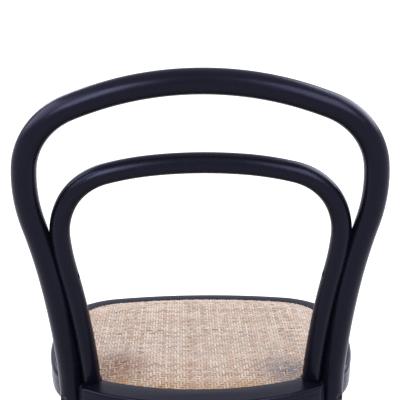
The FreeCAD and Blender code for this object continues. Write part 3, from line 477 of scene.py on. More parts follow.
def stacked(name, loops):
    """A closed body from loops of points that lie one under the other, anticlockwise."""
    def build(bm):
        rings = [[bm.verts.new(point) for point in loop] for loop in loops]
        for above, below in zip(rings, rings[1:]):
            for k in range(len(above)):
                after = (k + 1) % len(above)
                bm.faces.new((above[k], below[k], below[after], above[after]))
        bm.faces.new(rings[0])
        bm.faces.new(reversed(rings[-1]))
    return shapes_object(name, build)


# Outline of the seat: eight arcs, of which an inset only shortens the radii

MIDDLE = 17.766 * MM
FRONT_REACH, REAR_REACH, HALF_WIDTH = 206 * MM, 178 * MM, 216 * MM
WIDEST = -31 * MM
FRONT_R, SIDE_R, REAR_R = 623 * MM, 429 * MM, 318 * MM
FRONT_CORNER_R, REAR_CORNER_R = 94 * MM, 101.5 * MM
BORDER = 25 * MM


def corner_centre(one, radius_one, two, radius_two, radius):
    """Centre of the corner arc that runs on smoothly into two others."""
    reach_one, reach_two = radius_one - radius, radius_two - radius
    between = two - one
    along = (reach_one ** 2 - reach_two ** 2 + between.length_squared) / (2 * between.length)
    height = math.sqrt(reach_one ** 2 - along ** 2)
    direction = between.normalized()
    side = Vector((-direction.y, direction.x))
    middle = one + direction * along
    return max((middle + side * height, middle - side * height), key=lambda p: p.x)


FRONT = Vector((0, FRONT_R - FRONT_REACH))
REAR = Vector((0, REAR_REACH - REAR_R))
SIDE = Vector((HALF_WIDTH - SIDE_R, WIDEST))
FRONT_CORNER = corner_centre(FRONT, FRONT_R, SIDE, SIDE_R, FRONT_CORNER_R)
REAR_CORNER = corner_centre(SIDE, SIDE_R, REAR, REAR_R, REAR_CORNER_R)


def heading(vector):
    return math.atan2(vector.y, vector.x)


def towards(angle):
    return Vector((math.cos(angle), math.sin(angle)))


def seat_outline(inset, step=1.5 * MM):
    """Points round the seat, anticlockwise from the middle of its front, moved in by inset."""
    turns = [-math.pi / 2, heading(FRONT_CORNER - FRONT), heading(FRONT_CORNER - SIDE),
             heading(REAR_CORNER - SIDE), heading(REAR_CORNER - REAR), math.pi / 2]
    arcs = ((FRONT, FRONT_R), (FRONT_CORNER, FRONT_CORNER_R), (SIDE, SIDE_R),
            (REAR_CORNER, REAR_CORNER_R), (REAR, REAR_R))
    points = []
    for (centre, radius), begin, end in zip(arcs, turns, turns[1:]):
        reach = radius - inset
        count = max(2, math.ceil(reach * (end - begin) / step))
        points += [centre + towards(begin + (end - begin) * k / count) * reach
                   for k in range(count)]
    points.append(REAR + Vector((0, REAR_R - inset)))
    points += [Vector((-p.x, p.y)) for p in reversed(points[1:-1])]
    return [Vector((p.x, p.y - MIDDLE)) for p in points]


# The bent rods. Places are in the seat's own centre lines until they are shifted by MIDDLE.

SEAT_TOP = 455 * MM
FOOT_LEVEL = 4 * MM
FRAME_THICKNESS = 9 * MM
RING_TOP = SEAT_TOP - FRAME_THICKNESS
RING_BOTTOM = RING_TOP - 29 * MM
RING_WIDTH = 42 * MM
ROD_STEP = 3.5 * MM

LEAN = math.radians(15)
BACK_FOOT = Vector((0, 123.6 * MM - MIDDLE, SEAT_TOP))
UP_BACK = Vector((0, math.sin(LEAN), math.cos(LEAN)))
BACK_NORMAL = ACROSS.cross(UP_BACK)

BOW_RADIUS, HOOP_RADIUS, BRACE_RADIUS = 15 * MM, 12.5 * MM, 10 * MM
BOW_FOOT_X = 172.4 * MM
HOOP_FOOT_X = BOW_FOOT_X - BOW_RADIUS - HOOP_RADIUS - 0.2 * MM
BOW_START = 20 * MM
BOW_FLARE, HOOP_FLARE = 2.1, 2.2
# Radius and turn of each bend, from the seat to the crown; a minus turns outwards
BOW_BENDS = ((1370, -5.6), (835, -6.0), (217, 20.2), (94.4, 61.1), (489, 3.4))
HOOP_BENDS = ((1190, -8.35), (349, 7.85), (96, 29.5), (77.5, 47.9), (347, 9.8))


def on_back(across, up):
    return BACK_FOOT + ACROSS * across + UP_BACK * up


def bend(points, direction, radius, turn, axis):
    """Carry a line on round a bend; turn is in radians about axis. Returns the new direction."""
    start = points[-1]
    centre = start + axis.cross(direction) * radius * math.copysign(1, turn)
    count = max(1, math.ceil(radius * abs(turn) / ROD_STEP))
    for index in range(1, count + 1):
        points.append(centre + Quaternion(axis, turn * index / count) @ (start - centre))
    return Quaternion(axis, turn) @ direction


def half_arch(foot_x, foot_up, flare, bends):
    """One half of an arch, from its foot to the middle of its crown."""
    points = [on_back(foot_x, foot_up)]
    angle = math.radians(90 - flare)
    direction = ACROSS * math.cos(angle) + UP_BACK * math.sin(angle)
    for radius, turn in bends:
        direction = bend(points, direction, radius * MM, math.radians(turn), BACK_NORMAL)
    left = math.acos(-direction.dot(ACROSS))
    bend(points, direction, points[-1].x / math.sin(left), left, BACK_NORMAL)
    return points


def flipped(vector):
    return Vector((-vector.x, vector.y, vector.z))


def both(vector):
    return (vector, flipped(vector))


def whole(half):
    """Both halves of an arch whose last point is in the middle."""
    return half + [flipped(point) for point in reversed(half[:-1])]


def level_point(start, direction, level):
    return start + direction * ((level - start.z) / direction.z)


# The rear legs bend under the seat and run on, tapered, to the floor
DOWN_LEG = Vector((math.tan(math.radians(2)), math.tan(math.radians(11.5)), -1)).normalized()
FLARE = math.radians(BOW_FLARE)
DOWN_BOW = ACROSS * -math.sin(FLARE) - UP_BACK * math.cos(FLARE)
LEG_BEND_AXIS = DOWN_BOW.cross(DOWN_LEG).normalized()
REAR_BEND = [on_back(BOW_FOOT_X, BOW_START)]
bend(REAR_BEND, DOWN_BOW, 200 * MM, DOWN_BOW.angle(DOWN_LEG), LEG_BEND_AXIS)
REAR_FOOT_RADIUS = 12.5 * MM
REAR_FOOT = level_point(REAR_BEND[-1], DOWN_LEG, FOOT_LEVEL)
# How far the legs run past their ends before they are cut level
SPARE = 12 * MM


def rear_leg_radius(level):
    share = (REAR_BEND[-1].z - level) / (REAR_BEND[-1].z - FOOT_LEVEL)
    return BOW_RADIUS + (REAR_FOOT_RADIUS - BOW_RADIUS) * max(0.0, share)


def straight(start, end, step=12 * MM):
    count = max(1, math.ceil((end - start).length / step))
    return [start.lerp(end, index / count) for index in range(count + 1)]


FRONT_CORNER_AT = Vector((FRONT_CORNER.x, FRONT_CORNER.y - MIDDLE, RING_BOTTOM))
LEG_OUTWARD = towards(math.radians(-50)).to_3d()
SPLAY = math.radians(2)
LEG_INSET = 24 * MM
LEG_TOP = FRONT_CORNER_AT + LEG_OUTWARD * (FRONT_CORNER_R - LEG_INSET)
DOWN_FRONT = LEG_OUTWARD * math.sin(SPLAY) - UP * math.cos(SPLAY)
LEG_TOP_RADIUS, FRONT_FOOT_RADIUS = 19 * MM, 12 * MM
FRONT_FOOT = level_point(LEG_TOP, DOWN_FRONT, FOOT_LEVEL)


def front_leg_radius(level):
    share = (RING_BOTTOM - level) / (RING_BOTTOM - FOOT_LEVEL)
    return LEG_TOP_RADIUS + (FRONT_FOOT_RADIUS - LEG_TOP_RADIUS) * share


brace_low, brace_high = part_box("brace_ring")
BRACE_AT = Vector((0, (brace_low[1] + brace_high[1]) / 2, (brace_low[2] + brace_high[2]) / 2))
BRACE_REACH = (brace_high[0] - brace_low[0]) / 2 - BRACE_RADIUS


def circle_points(centre, radius):
    count = math.ceil(2 * math.pi * radius / ROD_STEP)
    return [centre + towards(2 * math.pi * k / count).to_3d() * radius for k in range(count)]


# Places of the screws: where the head's flat top is, and which way the screw is driven

# A head's depth is below the wood's face, and an inset is from the seat's outline
HOOP_SCREW_HEIGHTS = (33 * MM, 166 * MM)
HOOP_HEAD_DEPTH, BRACE_HEAD_DEPTH, SEAT_HEAD_DEPTH = 5 * MM, 1.5 * MM, 9 * MM
LEG_HEAD_INSET, LEG_HEAD_LEVEL = 40 * MM, 11 * MM
FRAME_SCREW_INSET, BOARD_SCREW_INSET = 12.5 * MM, 33.5 * MM


def hoop_screw_places(arch):
    """Through the hoop's legs into the bow, at two heights on each side."""
    def rise(point):
        return (point - BACK_FOOT).dot(UP_BACK)

    places = []
    for up in HOOP_SCREW_HEIGHTS:
        at = min(arch, key=lambda point: abs(rise(point) - up) if point.x > 0 else 1)
        near = arch[arch.index(at) + (1 if rise(at) < up else -1)]
        x = at.x + (near.x - at.x) * (up - rise(at)) / (rise(near) - rise(at))
        inner = on_back(x - HOOP_RADIUS + HOOP_HEAD_DEPTH, up)
        places += [(inner, ACROSS), (flipped(inner), -ACROSS)]
    return places


def brace_screw_places():
    """From the inside of the brace ring into each leg."""
    places = []
    for foot, down in ((LEG_TOP, DOWN_FRONT), (REAR_FOOT, DOWN_LEG)):
        for axis in both(level_point(foot, down, BRACE_AT.z)):
            outward = (axis - BRACE_AT).normalized()
            head = BRACE_AT + outward * (BRACE_REACH - BRACE_RADIUS + BRACE_HEAD_DEPTH)
            places.append((head, outward))
    return places


def leg_screw_places():
    """Through the ring's inner face into the tenon of each front leg."""
    head = FRONT_CORNER_AT + UP * LEG_HEAD_LEVEL + LEG_OUTWARD * (FRONT_CORNER_R - LEG_HEAD_INSET)
    return list(zip(both(head), both(LEG_OUTWARD)))


def under_seat_places(inset, spots):
    """Up from under the ring: spots are (centre, radius, bearing in degrees)."""
    places = []
    for centre, radius, bearing in spots:
        flat = centre + towards(math.radians(bearing)) * (radius - inset)
        place = Vector((flat.x, flat.y - MIDDLE, RING_BOTTOM + SEAT_HEAD_DEPTH))
        in_middle = abs(flat.x) < 0.1 * MM
        places += [(at, UP) for at in both(place)[:1 if in_middle else 2]]
    return places


HOOP_ARCH = whole(half_arch(HOOP_FOOT_X, 0.0, HOOP_FLARE, HOOP_BENDS))
HOOP_SCREWS = hoop_screw_places(HOOP_ARCH)
BRACE_SCREWS = brace_screw_places()
LEG_SCREWS = leg_screw_places()
FRAME_SCREWS = under_seat_places(
    FRAME_SCREW_INSET, ((FRONT, FRONT_R, -83), (SIDE, SIDE_R, 1), (REAR, REAR_R, 80)))
BOARD_SCREWS = under_seat_places(
    BOARD_SCREW_INSET, ((FRONT, FRONT_R, -90), (REAR, REAR_R, 90), (SIDE, SIDE_R, -6)))


def bolt_frame():
    """Where the bolt through a rear leg and the ring has its head, where its washer sits, and
    the way it points out."""
    level = (RING_TOP + RING_BOTTOM) / 2
    inside = Vector((REAR_CORNER.x, REAR_CORNER.y - MIDDLE, level))
    for lower, upper in zip(REAR_BEND[1:], REAR_BEND):
        if lower.z <= level <= upper.z:
            leg = lower.lerp(upper, (level - lower.z) / (upper.z - lower.z))
    out = (leg - inside).normalized()
    return leg + out * (BOW_RADIUS - 2.2 * MM), inside + out * (REAR_CORNER_R - RING_WIDTH), out


BOLT_HEAD_FACE, WASHER_FACE, BOLT_OUT = bolt_frame()
BOLTS = list(zip(both(BOLT_HEAD_FACE), both(BOLT_OUT)))
WASHERS = list(zip(both(WASHER_FACE), both(-BOLT_OUT)))
BORDER_ROUND, RING_ROUND, SEAM_ROUND = 6 * MM, 9 * MM, 0.9 * MM
# How much smaller the ring is than the border above it
RING_INSET = 0.6 * MM


def plate_section(name, outer, inner, top, bottom, corners):
    """A band's section: x is how far in from the outline, y is the height. corners gives
    the rounding of outer bottom, outer top, inner top and inner bottom with its steps."""
    spots = ((outer, bottom, 270, 180), (outer, top, 180, 90),
             (inner, top, 90, 0), (inner, bottom, 0, -90))
    points = []
    for (x, y, begin, end), (radius, steps) in zip(spots, corners):
        centre = (x + radius * (1 if x == outer else -1), y + radius * (1 if y == bottom else -1))
        arc = arc_points(centre, radius, math.radians(begin), math.radians(end), steps)
        points += arc if radius else [centre]
    return section_object(name, points)


TONGUE_REACH = 16 * MM
TONGUE_RADIUS = 282.9 * MM
TONGUE_HALF_WIDTH = BOW_FOOT_X - BOW_RADIUS - 1.5 * MM
TONGUE_CORNER = 6 * MM
TONGUE_ROUND = 3 * MM


def tongue_outline(inset):
    """Outline of the seat's stretch between the rear legs, from its root half way across the
    border."""
    half, reach = TONGUE_HALF_WIDTH - inset, TONGUE_RADIUS - inset
    corner = TONGUE_CORNER - inset
    centre_y = REAR_REACH + TONGUE_REACH - TONGUE_RADIUS
    corner_x = half - corner
    corner_y = centre_y + math.sqrt((reach - corner) ** 2 - corner_x ** 2)
    turn = math.atan2(corner_y - centre_y, corner_x)
    root = REAR_R - BORDER / 2
    root_turn = math.acos(half / root)
    points = arc_points((corner_x, corner_y), corner, 0.0, turn, 8)
    points += arc_points((0.0, centre_y), reach, turn, math.pi - turn, 90)[1:-1]
    points += arc_points((-corner_x, corner_y), corner, math.pi - turn, math.pi, 8)
    points += arc_points((0.0, REAR.y), root, math.pi - root_turn, root_turn, 60)
    return [(x, y - MIDDLE) for x, y in points]


def tongue(name, inset, top, bottom, top_round, bottom_round):
    """A closed plate in the tongue's outline, its outer edges rounded above and below."""
    quarter = [math.pi / 2 * k / 6 for k in range(7)]
    levels = [(top_round * (1 - math.sin(a)), top - top_round * (1 - math.cos(a)))
              for a in quarter]
    levels += [(bottom_round * (1 - math.cos(a)), bottom + bottom_round * (1 - math.sin(a)))
               for a in quarter]
    return stacked(name, [[(x, y, z) for x, y in tongue_outline(inset + side)]
                          for side, z in levels])


# Room between a rod and the wood that is cut round it, and round the bow in the seat
CLEARANCE = 0.15 * MM
NOTCH_CLEARANCE = 0.25 * MM
# Level between the brace ring and the seat, where a rear leg's cuts for the seat may end
UNDER_SEAT = 380 * MM
HEAD_HOLE_RADIUS, BOLT_FLAT_RADIUS, WASHER_FLAT_RADIUS = 3.85 * MM, 7.15 * MM, 9.15 * MM
TENON_RADIUS, TENON_LENGTH, TENON_ROOT = 11 * MM, 22 * MM, 5 * MM
PAD_RADIUS, PAD_FORWARD = 13.6 * MM, 3 * MM


def head_holes(places, depth):
    """Holes above the heads of sunk screws, for drills()."""
    return [(place - way * depth, way, HEAD_HOLE_RADIUS, depth) for place, way in places]


def bent_pieces():
    """Bow, hoop, brace ring, front legs, border frame and ring, cut to fit one another."""
    rod, slim = round_section(48), round_section(40)
    lower = REAR_BEND + straight(REAR_BEND[-1], REAR_FOOT + DOWN_LEG * SPARE)[1:]
    bow_half = half_arch(BOW_FOOT_X, BOW_START, BOW_FLARE, BOW_BENDS)
    bow_path = whole(list(reversed(lower[1:])) + bow_half)
    near_floor = slab("below_feet", -60 * MM, FOOT_LEVEL)
    brace_path = circle_points(BRACE_AT, BRACE_REACH)
    brace_room = sweep("brace_room", brace_path, BRACE_RADIUS + CLEARANCE, slim, closed=True)
    bolt_flats = drills("bolt_flats", [(*bolt, BOLT_FLAT_RADIUS, 20 * MM) for bolt in BOLTS], 48)
    girth = [rear_leg_radius(point.z) for point in bow_path]
    bow = fitted(sweep("back_bow_bent", bow_path, girth, rod), "DIFFERENCE",
                 [near_floor, brace_room, bolt_flats])

    tail = on_back(HOOP_FOOT_X, 0.0) - (HOOP_ARCH[1] - HOOP_ARCH[0]).normalized() * 20 * MM
    hoop_path = [tail] + HOOP_ARCH + [flipped(tail)]
    bow_room = sweep("bow_room", bow_path, BOW_RADIUS + CLEARANCE, rod)
    under_hoop = slab("below_hoop", UNDER_SEAT, SEAT_TOP)
    hoop_holes = drills("hoop_head_holes", head_holes(HOOP_SCREWS, 15 * MM))
    hoop = fitted(sweep("back_hoop_bent", hoop_path, HOOP_RADIUS, rod), "DIFFERENCE",
                  [bow_room, under_hoop, hoop_holes])

    brace_holes = drills("brace_head_holes", head_holes(BRACE_SCREWS, 8 * MM))
    brace = fitted(sweep("brace_ring_bent", brace_path, BRACE_RADIUS, slim, closed=True),
                   "DIFFERENCE", [brace_holes])

    over_leg = slab("above_leg", RING_BOTTOM, RING_BOTTOM + 60 * MM)
    legs, tenons = [], []
    for side, top, down in zip(("left", "right"), both(LEG_TOP), both(DOWN_FRONT)):
        path = straight(top - down * SPARE, level_point(top, down, FOOT_LEVEL) + down * SPARE)
        girth = [front_leg_radius(point.z) for point in path]
        shaft = sweep("front_leg_%s_turned" % side, path, girth, rod)
        shaft = fitted(shaft, "DIFFERENCE", [near_floor, over_leg, brace_room])
        tenon = (top + down * TENON_ROOT, -down, TENON_RADIUS, TENON_ROOT + TENON_LENGTH)
        tenons.append(drills("tenon", [tenon], 40))
        legs.append(fitted(shaft, "UNION", tenons[-1:]))

    # Border and ring follow the same outline, the border on top
    outline = [(p.x, p.y, SEAT_TOP) for p in seat_outline(0.0, 2.5 * MM)]
    crisp, seam = (0, 1), (SEAM_ROUND, 3)
    frame_section = plate_section("frame_section", 0, BORDER, 0, -FRAME_THICKNESS,
                                  (seam, (BORDER_ROUND, 10), seam, crisp))
    border = sweep("seat_frame_board", outline, 1.0, frame_section, closed=True, level=True)
    pad_at = Vector((0, -PAD_FORWARD, -FRAME_THICKNESS))
    pads = drills("foot_pads", [(foot + pad_at, UP, PAD_RADIUS, FRAME_THICKNESS)
                                for foot in both(on_back(HOOP_FOOT_X, 0.0))], 64)
    border_tongue = tongue("border_tongue", 0.0, SEAT_TOP, RING_TOP, TONGUE_ROUND, SEAM_ROUND)
    near_seat = [point for point in bow_path[:len(lower) + 20] if point.z > UNDER_SEAT]
    notches = [sweep("notch", path, BOW_RADIUS + NOTCH_CLEARANCE, rod)
               for path in (near_seat, [flipped(point) for point in near_seat])]
    border = fitted(fitted(border, "UNION", [pads, border_tongue]), "DIFFERENCE", notches)

    ring_section = plate_section("ring_section", RING_INSET, RING_WIDTH, -FRAME_THICKNESS,
                                 RING_BOTTOM - SEAT_TOP,
                                 ((RING_ROUND, 10), seam, crisp, seam))
    ring = sweep("seat_ring_bent", outline, 1.0, ring_section, closed=True, level=True)
    holes = head_holes(FRAME_SCREWS + BOARD_SCREWS, 14 * MM) + head_holes(LEG_SCREWS, 6 * MM)
    holes += [(*washer, WASHER_FLAT_RADIUS, 5 * MM) for washer in WASHERS]
    ring_holes = drills("ring_holes", holes)
    ring_tongue = tongue("ring_tongue", RING_INSET, RING_TOP, RING_BOTTOM, SEAM_ROUND, TONGUE_ROUND)
    ring = fitted(fitted(ring, "UNION", [ring_tongue]), "DIFFERENCE", notches + [ring_holes])

    discard([rod, slim, near_floor, brace_room, bolt_flats, bow_room, under_hoop, hoop_holes,
             brace_holes, over_leg, frame_section, ring_section, pads, ring_holes, border_tongue,
             ring_tongue] + notches + tenons)
    for piece in (bow, hoop, brace, *legs, border, ring):
        dress(piece)


bent_pieces()


# Screws, bolts, nuts and glides

# Rows of their outlines are (height, radius) in mm, and can go on with the radius that flattens
# them and with their share of the thread's depth.
NO_LIMIT = 99.0
SCREW_CORE, SCREW_PITCH, STEPS_A_TURN = 1.4, 1.8, 4
WASHER_THICKNESS = 1.6


def fastener_tree():
    """Turn an outline, cut its thread and its recess, and set one at every place."""
    given = geometry_tree("fasteners", Geometry="Places", Object="Outline Section Recess",
                                Float="Pitch Depth", Int="Seed")
    outline = as_curve(shape_of(given["Outline"]))
    mesh = swept(outline, shape_of(given["Section"]))
    place = parts_of(geo("InputPosition"))
    flat = vector_of(place[0], place[1])
    reach = vector_math("LENGTH", {0: flat}, "Value")
    turn = math_of("DIVIDE", math_of("ARCTAN2", place[1], place[0]), 2 * math.pi)
    winding = minus(math_of("DIVIDE", place[2], given["Pitch"]), turn)
    crest = times(math_of("PINGPONG", winding, 0.5), 2.0)
    cut = times(times(crest, given["Depth"]), kept("thread"))
    limited = math_of("MINIMUM", reach, kept("limit"))
    wider = minus(math_of("ADD", limited, cut), reach)
    away = vector_math("NORMALIZE", {0: flat})
    shift = vector_math("SCALE", {0: away, "Scale": wider})
    mesh = geo("SetPosition", {"Geometry": mesh, "Offset": shift})
    feeds = {"Mesh 1": mesh, "Mesh 2": shape_of(given["Recess"])}
    mesh = geo("MeshBoolean", feeds, "Mesh", operation="DIFFERENCE", solver="MANIFOLD")
    one = softened(mesh, 32.0)
    feeds = {2: 0.0, 3: 2 * math.pi, "Seed": given["Seed"]}
    spin = result("FunctionNodeRandomValue", feeds, 1)
    feeds = {"Axis": (0.0, 0.0, 1.0), "Angle": spin}
    spin = result("FunctionNodeAxisAngleToRotation", feeds)
    feeds = {"Vector": kept("aim", "FLOAT_VECTOR")}
    aim = result("FunctionNodeAlignRotationToVector", feeds)
    spin = result("FunctionNodeRotateRotation", {0: aim, 1: spin}, rotation_space="LOCAL")
    feeds = {"Points": given["Places"], "Instance": one, "Rotation": spin}
    return finish_tree(geo("InstanceOnPoints", feeds), given)


FASTENERS = fastener_tree()


def set_fasteners(name, places, rows, recess, material, section=None, pitch=1.8 * MM,
                  depth=0.0):
    """places are (place, way the top faces)."""
    rows = [tuple(row) + (NO_LIMIT, 0.0)[len(row) - 2:] for row in rows]
    spots, ways = zip(*places)
    points = line_object(name + "_places", spots, aim=[tuple(way) for way in ways])
    outline = line_object(name + "_outline", [(0, 0, row[0] * MM) for row in rows],
                          girth=[row[1] * MM for row in rows], limit=[row[2] * MM for row in rows],
                          thread=[float(row[3]) for row in rows])
    ring = section or round_section(16)
    made = grown(name, FASTENERS, points, Outline=outline, Section=ring, Recess=recess,
                 Pitch=pitch, Depth=depth, Seed=len(name), Material=material)
    discard([outline, ring])
    dress(made)


def screw_rows(length):
    """Countersunk wood screw: head, plain shank, threaded part and point."""
    height = -0.36 * length
    rows = [(0.0, 3.7), (-0.1, 3.8), (-0.25, 3.72), (-1.85, 1.9), (height, 1.9)]
    height -= 0.4
    rows.append((height, SCREW_CORE))
    while height - SCREW_PITCH / STEPS_A_TURN > 4.0 - length:
        height -= SCREW_PITCH / STEPS_A_TURN
        rows.append((height, SCREW_CORE, NO_LIMIT, 1.0))
    for share in (0.3, 0.6, 0.85, 1.0):
        rows.append((height + (-length - height) * share, SCREW_CORE * (1 - share) + 0.08, NO_LIMIT,
                     1 - share))
    return rows


def cross_recess():
    """The cross for the screwdriver, narrowing as it goes down."""
    arm, half, height, depth, lower = 2.1 * MM, 0.5 * MM, 0.4 * MM, 2.0 * MM, 0.45
    spots = [(arm, half), (half, half), (half, arm)]
    for _ in range(3):
        spots += [(-y, x) for x, y in spots[-3:]]
    return stacked("cross_recess", [[(x, y, height) for x, y in spots],
                                    [(x * lower, y * lower, -depth) for x, y in spots]])


def screws():
    """Black wood screws with a cross recess, one set a node."""
    cross = cross_recess()
    for node, places, length in (
            ("hoop_screws", HOOP_SCREWS, 35.0), ("brace_screws", BRACE_SCREWS, 32.0),
            ("front_leg_screws", LEG_SCREWS, 30.0), ("seat_frame_screws", FRAME_SCREWS, 24.0),
            ("seat_board_screws", BOARD_SCREWS, 24.0)):
        tops = [(place, -way) for place, way in places]
        set_fasteners(node + "_cut", tops, screw_rows(length), cross, BLACK_STEEL,
                      depth=0.5 * MM)
    discard([cross])


def bolts_and_nuts():
    """Round-headed bolts through the rear legs, with a washer and a nut inside the ring."""
    grip = (BOLT_HEAD_FACE - WASHER_FACE).length / MM
    end = grip + 8.6
    shank, core = 2.95, 2.55
    rows = [(3.2 * math.cos(math.radians(a)), 7.0 * math.sin(math.radians(a)))
            for a in range(6, 91, 12)]
    height = -grip + 5.8
    rows += [(0.0, 7.0), (-0.02, shank), (-grip + 6.0, shank), (height, core)]
    while height > 0.6 - end:
        height -= 0.25
        rows.append((height, core, NO_LIMIT, 1.0))
    rows.append((-end, 2.2))
    socket = drills("hex_socket", [(Vector((0, 0, 1.4 * MM)), UP, 2.3 * MM, 4 * MM)], 6)
    set_fasteners("rear_leg_bolts_cut", BOLTS, rows, socket, BLACK_STEEL,
                  round_section(28), pitch=1.0 * MM, depth=0.42 * MM)

    hole = drills("bolt_hole", [(Vector((0, 0, -2 * MM)), UP, 3.05 * MM, 12 * MM)])
    rows = [(0.0, 8.85), (0.15, 9.0), (1.3, 9.0), (WASHER_THICKNESS, 8.7)]
    set_fasteners("rear_leg_washers_stamped", WASHERS, rows, hole, ZINC,
                  round_section(40))

    side = 5.0 / math.cos(math.pi / 6)
    corners = [Vector(spot) for spot in arc_points((0, 0), side, 0.0, 2 * math.pi, 6)]
    hexagon = [corners[k].lerp(corners[k + 1], part / 5) for k in range(6) for part in range(5)]
    rows = [(0.0, 1.0, 5.1), (0.35, 1.0, 5.55), (0.6, 1.0), (4.4, 1.0), (4.65, 1.0, 5.55),
            (5.0, 1.0, 5.1)]
    places = [(place + way * WASHER_THICKNESS * MM, way) for place, way in WASHERS]
    set_fasteners("rear_leg_nuts_cut", places, rows, hole, ZINC,
                  section_object("hexagon", hexagon))
    discard([socket, hole])


def glides():
    disc = round_section(40)
    """A moulded disc under each foot, with the pin that holds it in the wood."""
    rows = ((0.0, 8.5), (0.12, 9.15), (0.45, 9.62), (0.9, 9.9), (1.5, 10.0), (3.7, 10.0),
            (4.0, 9.75), (4.02, 1.5), (14.5, 1.5), (16.0, 0.7))
    girth = [radius * MM for _, radius in rows]
    for end, at in (("front", FRONT_FOOT), ("rear", REAR_FOOT)):
        for side, foot in zip(("left", "right"), both(at)):
            points = [Vector((foot.x, foot.y, height * MM)) for height, _ in rows]
            name = "glide_%s_%s_moulded" % (end, side)
            dress(sweep(name, points, girth, disc, NYLON))
    discard([disc])


screws()
bolts_and_nuts()
glides()


# The woven seat

PANEL_DROP = 0.5 * MM
CROWN_HEIGHT = 9 * MM
CROWN_RUN = 60 * MM
PANEL_GAP = 0.4 * MM
OPENING_GAP = 0.05 * MM
STRIP_PITCH = 4 * MM
WARP_WIDTH = 2.9 * MM
WEFT_WIDTH = 3.3 * MM
STRIP_THICKNESS = 1 * MM
WEAVE_TURN = math.radians(0.75)
WAVE_FLATTENING = 1.25
MERGE_DISTANCE = 0.02 * MM
# Strips that stand out: place across the seat, then how brown and how grey
WEFT_MARKS = ((-36 * MM, 0.9, 0.0), (-48 * MM, 0.9, 0.0), (-92 * MM, 0.1, 0.6),
              (-112 * MM, 0.6, 0.0), (92 * MM, 0.5, 0.0))
WARP_MARKS = ((104 * MM, 0.0, 0.6), (128 * MM, 0.0, 0.6), (40 * MM, 0.0, 0.0),
              (-96 * MM, 0.5, 0.3))
FOOT_PAD_X, FOOT_PAD_Y, FOOT_PAD_RADIUS = 144.7 * MM, 120.6 * MM - MIDDLE, 14 * MM


def opening_points():
    """The border's opening, with room for the pads under the hoop's feet."""
    points = []
    for point in seat_outline(BORDER + OPENING_GAP):
        for side in (1, -1):
            pad = Vector((side * FOOT_PAD_X, FOOT_PAD_Y))
            away = point - pad
            if away.length < FOOT_PAD_RADIUS:
                point = pad + away.normalized() * FOOT_PAD_RADIUS
        points.append(point)
    return points


def weave_tree():
    """Strips over two and under two, on a panel that swells to a crown inside its edge."""
    given = geometry_tree("woven_strips", Geometry="Strips", Object="Edge Opening Profile",
                                Float="Pitch Rise EdgeHeight CrownHeight CrownRun", Vector="Turn")
    place = geo("InputPosition")
    x, y, z = parts_of(place)
    level = vector_of(x, y)

    def nearest(name, element, output):
        """The point of a flat helper shape that is nearest to a strip's, or its distance."""
        feeds = {"Geometry": shape_of(given[name]), "Sample Position": level}
        return geo("Proximity", feeds, output, target_element=element)

    # The crown: the height grows from the edge inwards
    edge = nearest("Edge", "EDGES", "Distance")
    share = result("ShaderNodeClamp", {0: math_of("DIVIDE", edge, given["CrownRun"])})
    fall = math_of("POWER", minus(1.0, share), 2.0)
    crown = times(given["CrownHeight"], minus(1.0, fall))
    # The twill: each strip goes up and down in a flattened wave, a step on from the strip beside it
    feeds = {"Vector": level, "Rotation": given["Turn"]}
    square = result("ShaderNodeVectorRotate", feeds, rotation_type="EULER_XYZ")
    on_weave = parts_of(square)
    steps = math_of("DIVIDE", minus(on_weave[0], on_weave[1]), given["Pitch"])
    wave = math_of("COSINE", times(minus(steps, 0.5), math.pi / 2))
    wave = result("ShaderNodeClamp", {0: times(wave, WAVE_FLATTENING), 1: -1.0, 2: 1.0})
    wave = times(wave, kept("over"))
    sunk = spread(wave, -1.0, 1.0, 1.0, 0.0)
    height = math_of("ADD", given["EdgeHeight"], crown)
    height = math_of("ADD", height, times(wave, given["Rise"]))
    half_pitch = math_of("DIVIDE", given["Pitch"], 2.0)
    feeds = {"Curve": as_curve(given["Strips"]), "Length": half_pitch}
    curve = geo("ResampleCurve", feeds, mode="LENGTH")
    feeds = {"Geometry": curve, "Position": vector_of(x, y, height)}
    curve = geo("SetCurveNormal", {"Curve": geo("SetPosition", feeds)}, mode="Z_UP")
    along = geo("SplineParameter", None, "Length")
    for label, value in (("along", along), ("sunk", sunk), ("rim", edge)):
        curve = keep(curve, label, value)
    profile = keep(as_curve(shape_of(given["Profile"])), "across", x)
    feeds = {"Curve": curve, "Profile Curve": profile, "Scale": kept("width"),
             "Fill Caps": True}
    mesh = geo("CurveToMesh", feeds)
    # The ends are trimmed by moving what is outside the opening to its edge
    inside = parts_of(nearest("Opening", "FACES", "Position"))
    feeds = {"Geometry": mesh, "Position": vector_of(inside[0], inside[1], z)}
    feeds = {"Geometry": geo("SetPosition", feeds), "Distance": MERGE_DISTANCE}
    mesh = geo("MergeByDistance", feeds)
    run = vector_of(*(kept(name) for name in ("along", "across", "number")))
    mesh = keep(mesh, "run", run, "FLOAT_VECTOR")
    return finish_tree(softened(mesh, 40), given)


def chord(points, start, direction):
    """Where a line enters and leaves a closed outline, as distances along it, or None."""
    normal = Vector((-direction.y, direction.x))
    hits = []
    for one, two in zip(points, points[1:] + points[:1]):
        side_one, side_two = (one - start).dot(normal), (two - start).dot(normal)
        if (side_one > 0) != (side_two > 0):
            share = side_one / (side_one - side_two)
            hits.append((one + (two - one) * share - start).dot(direction))
    return (min(hits), max(hits)) if len(hits) > 1 else None


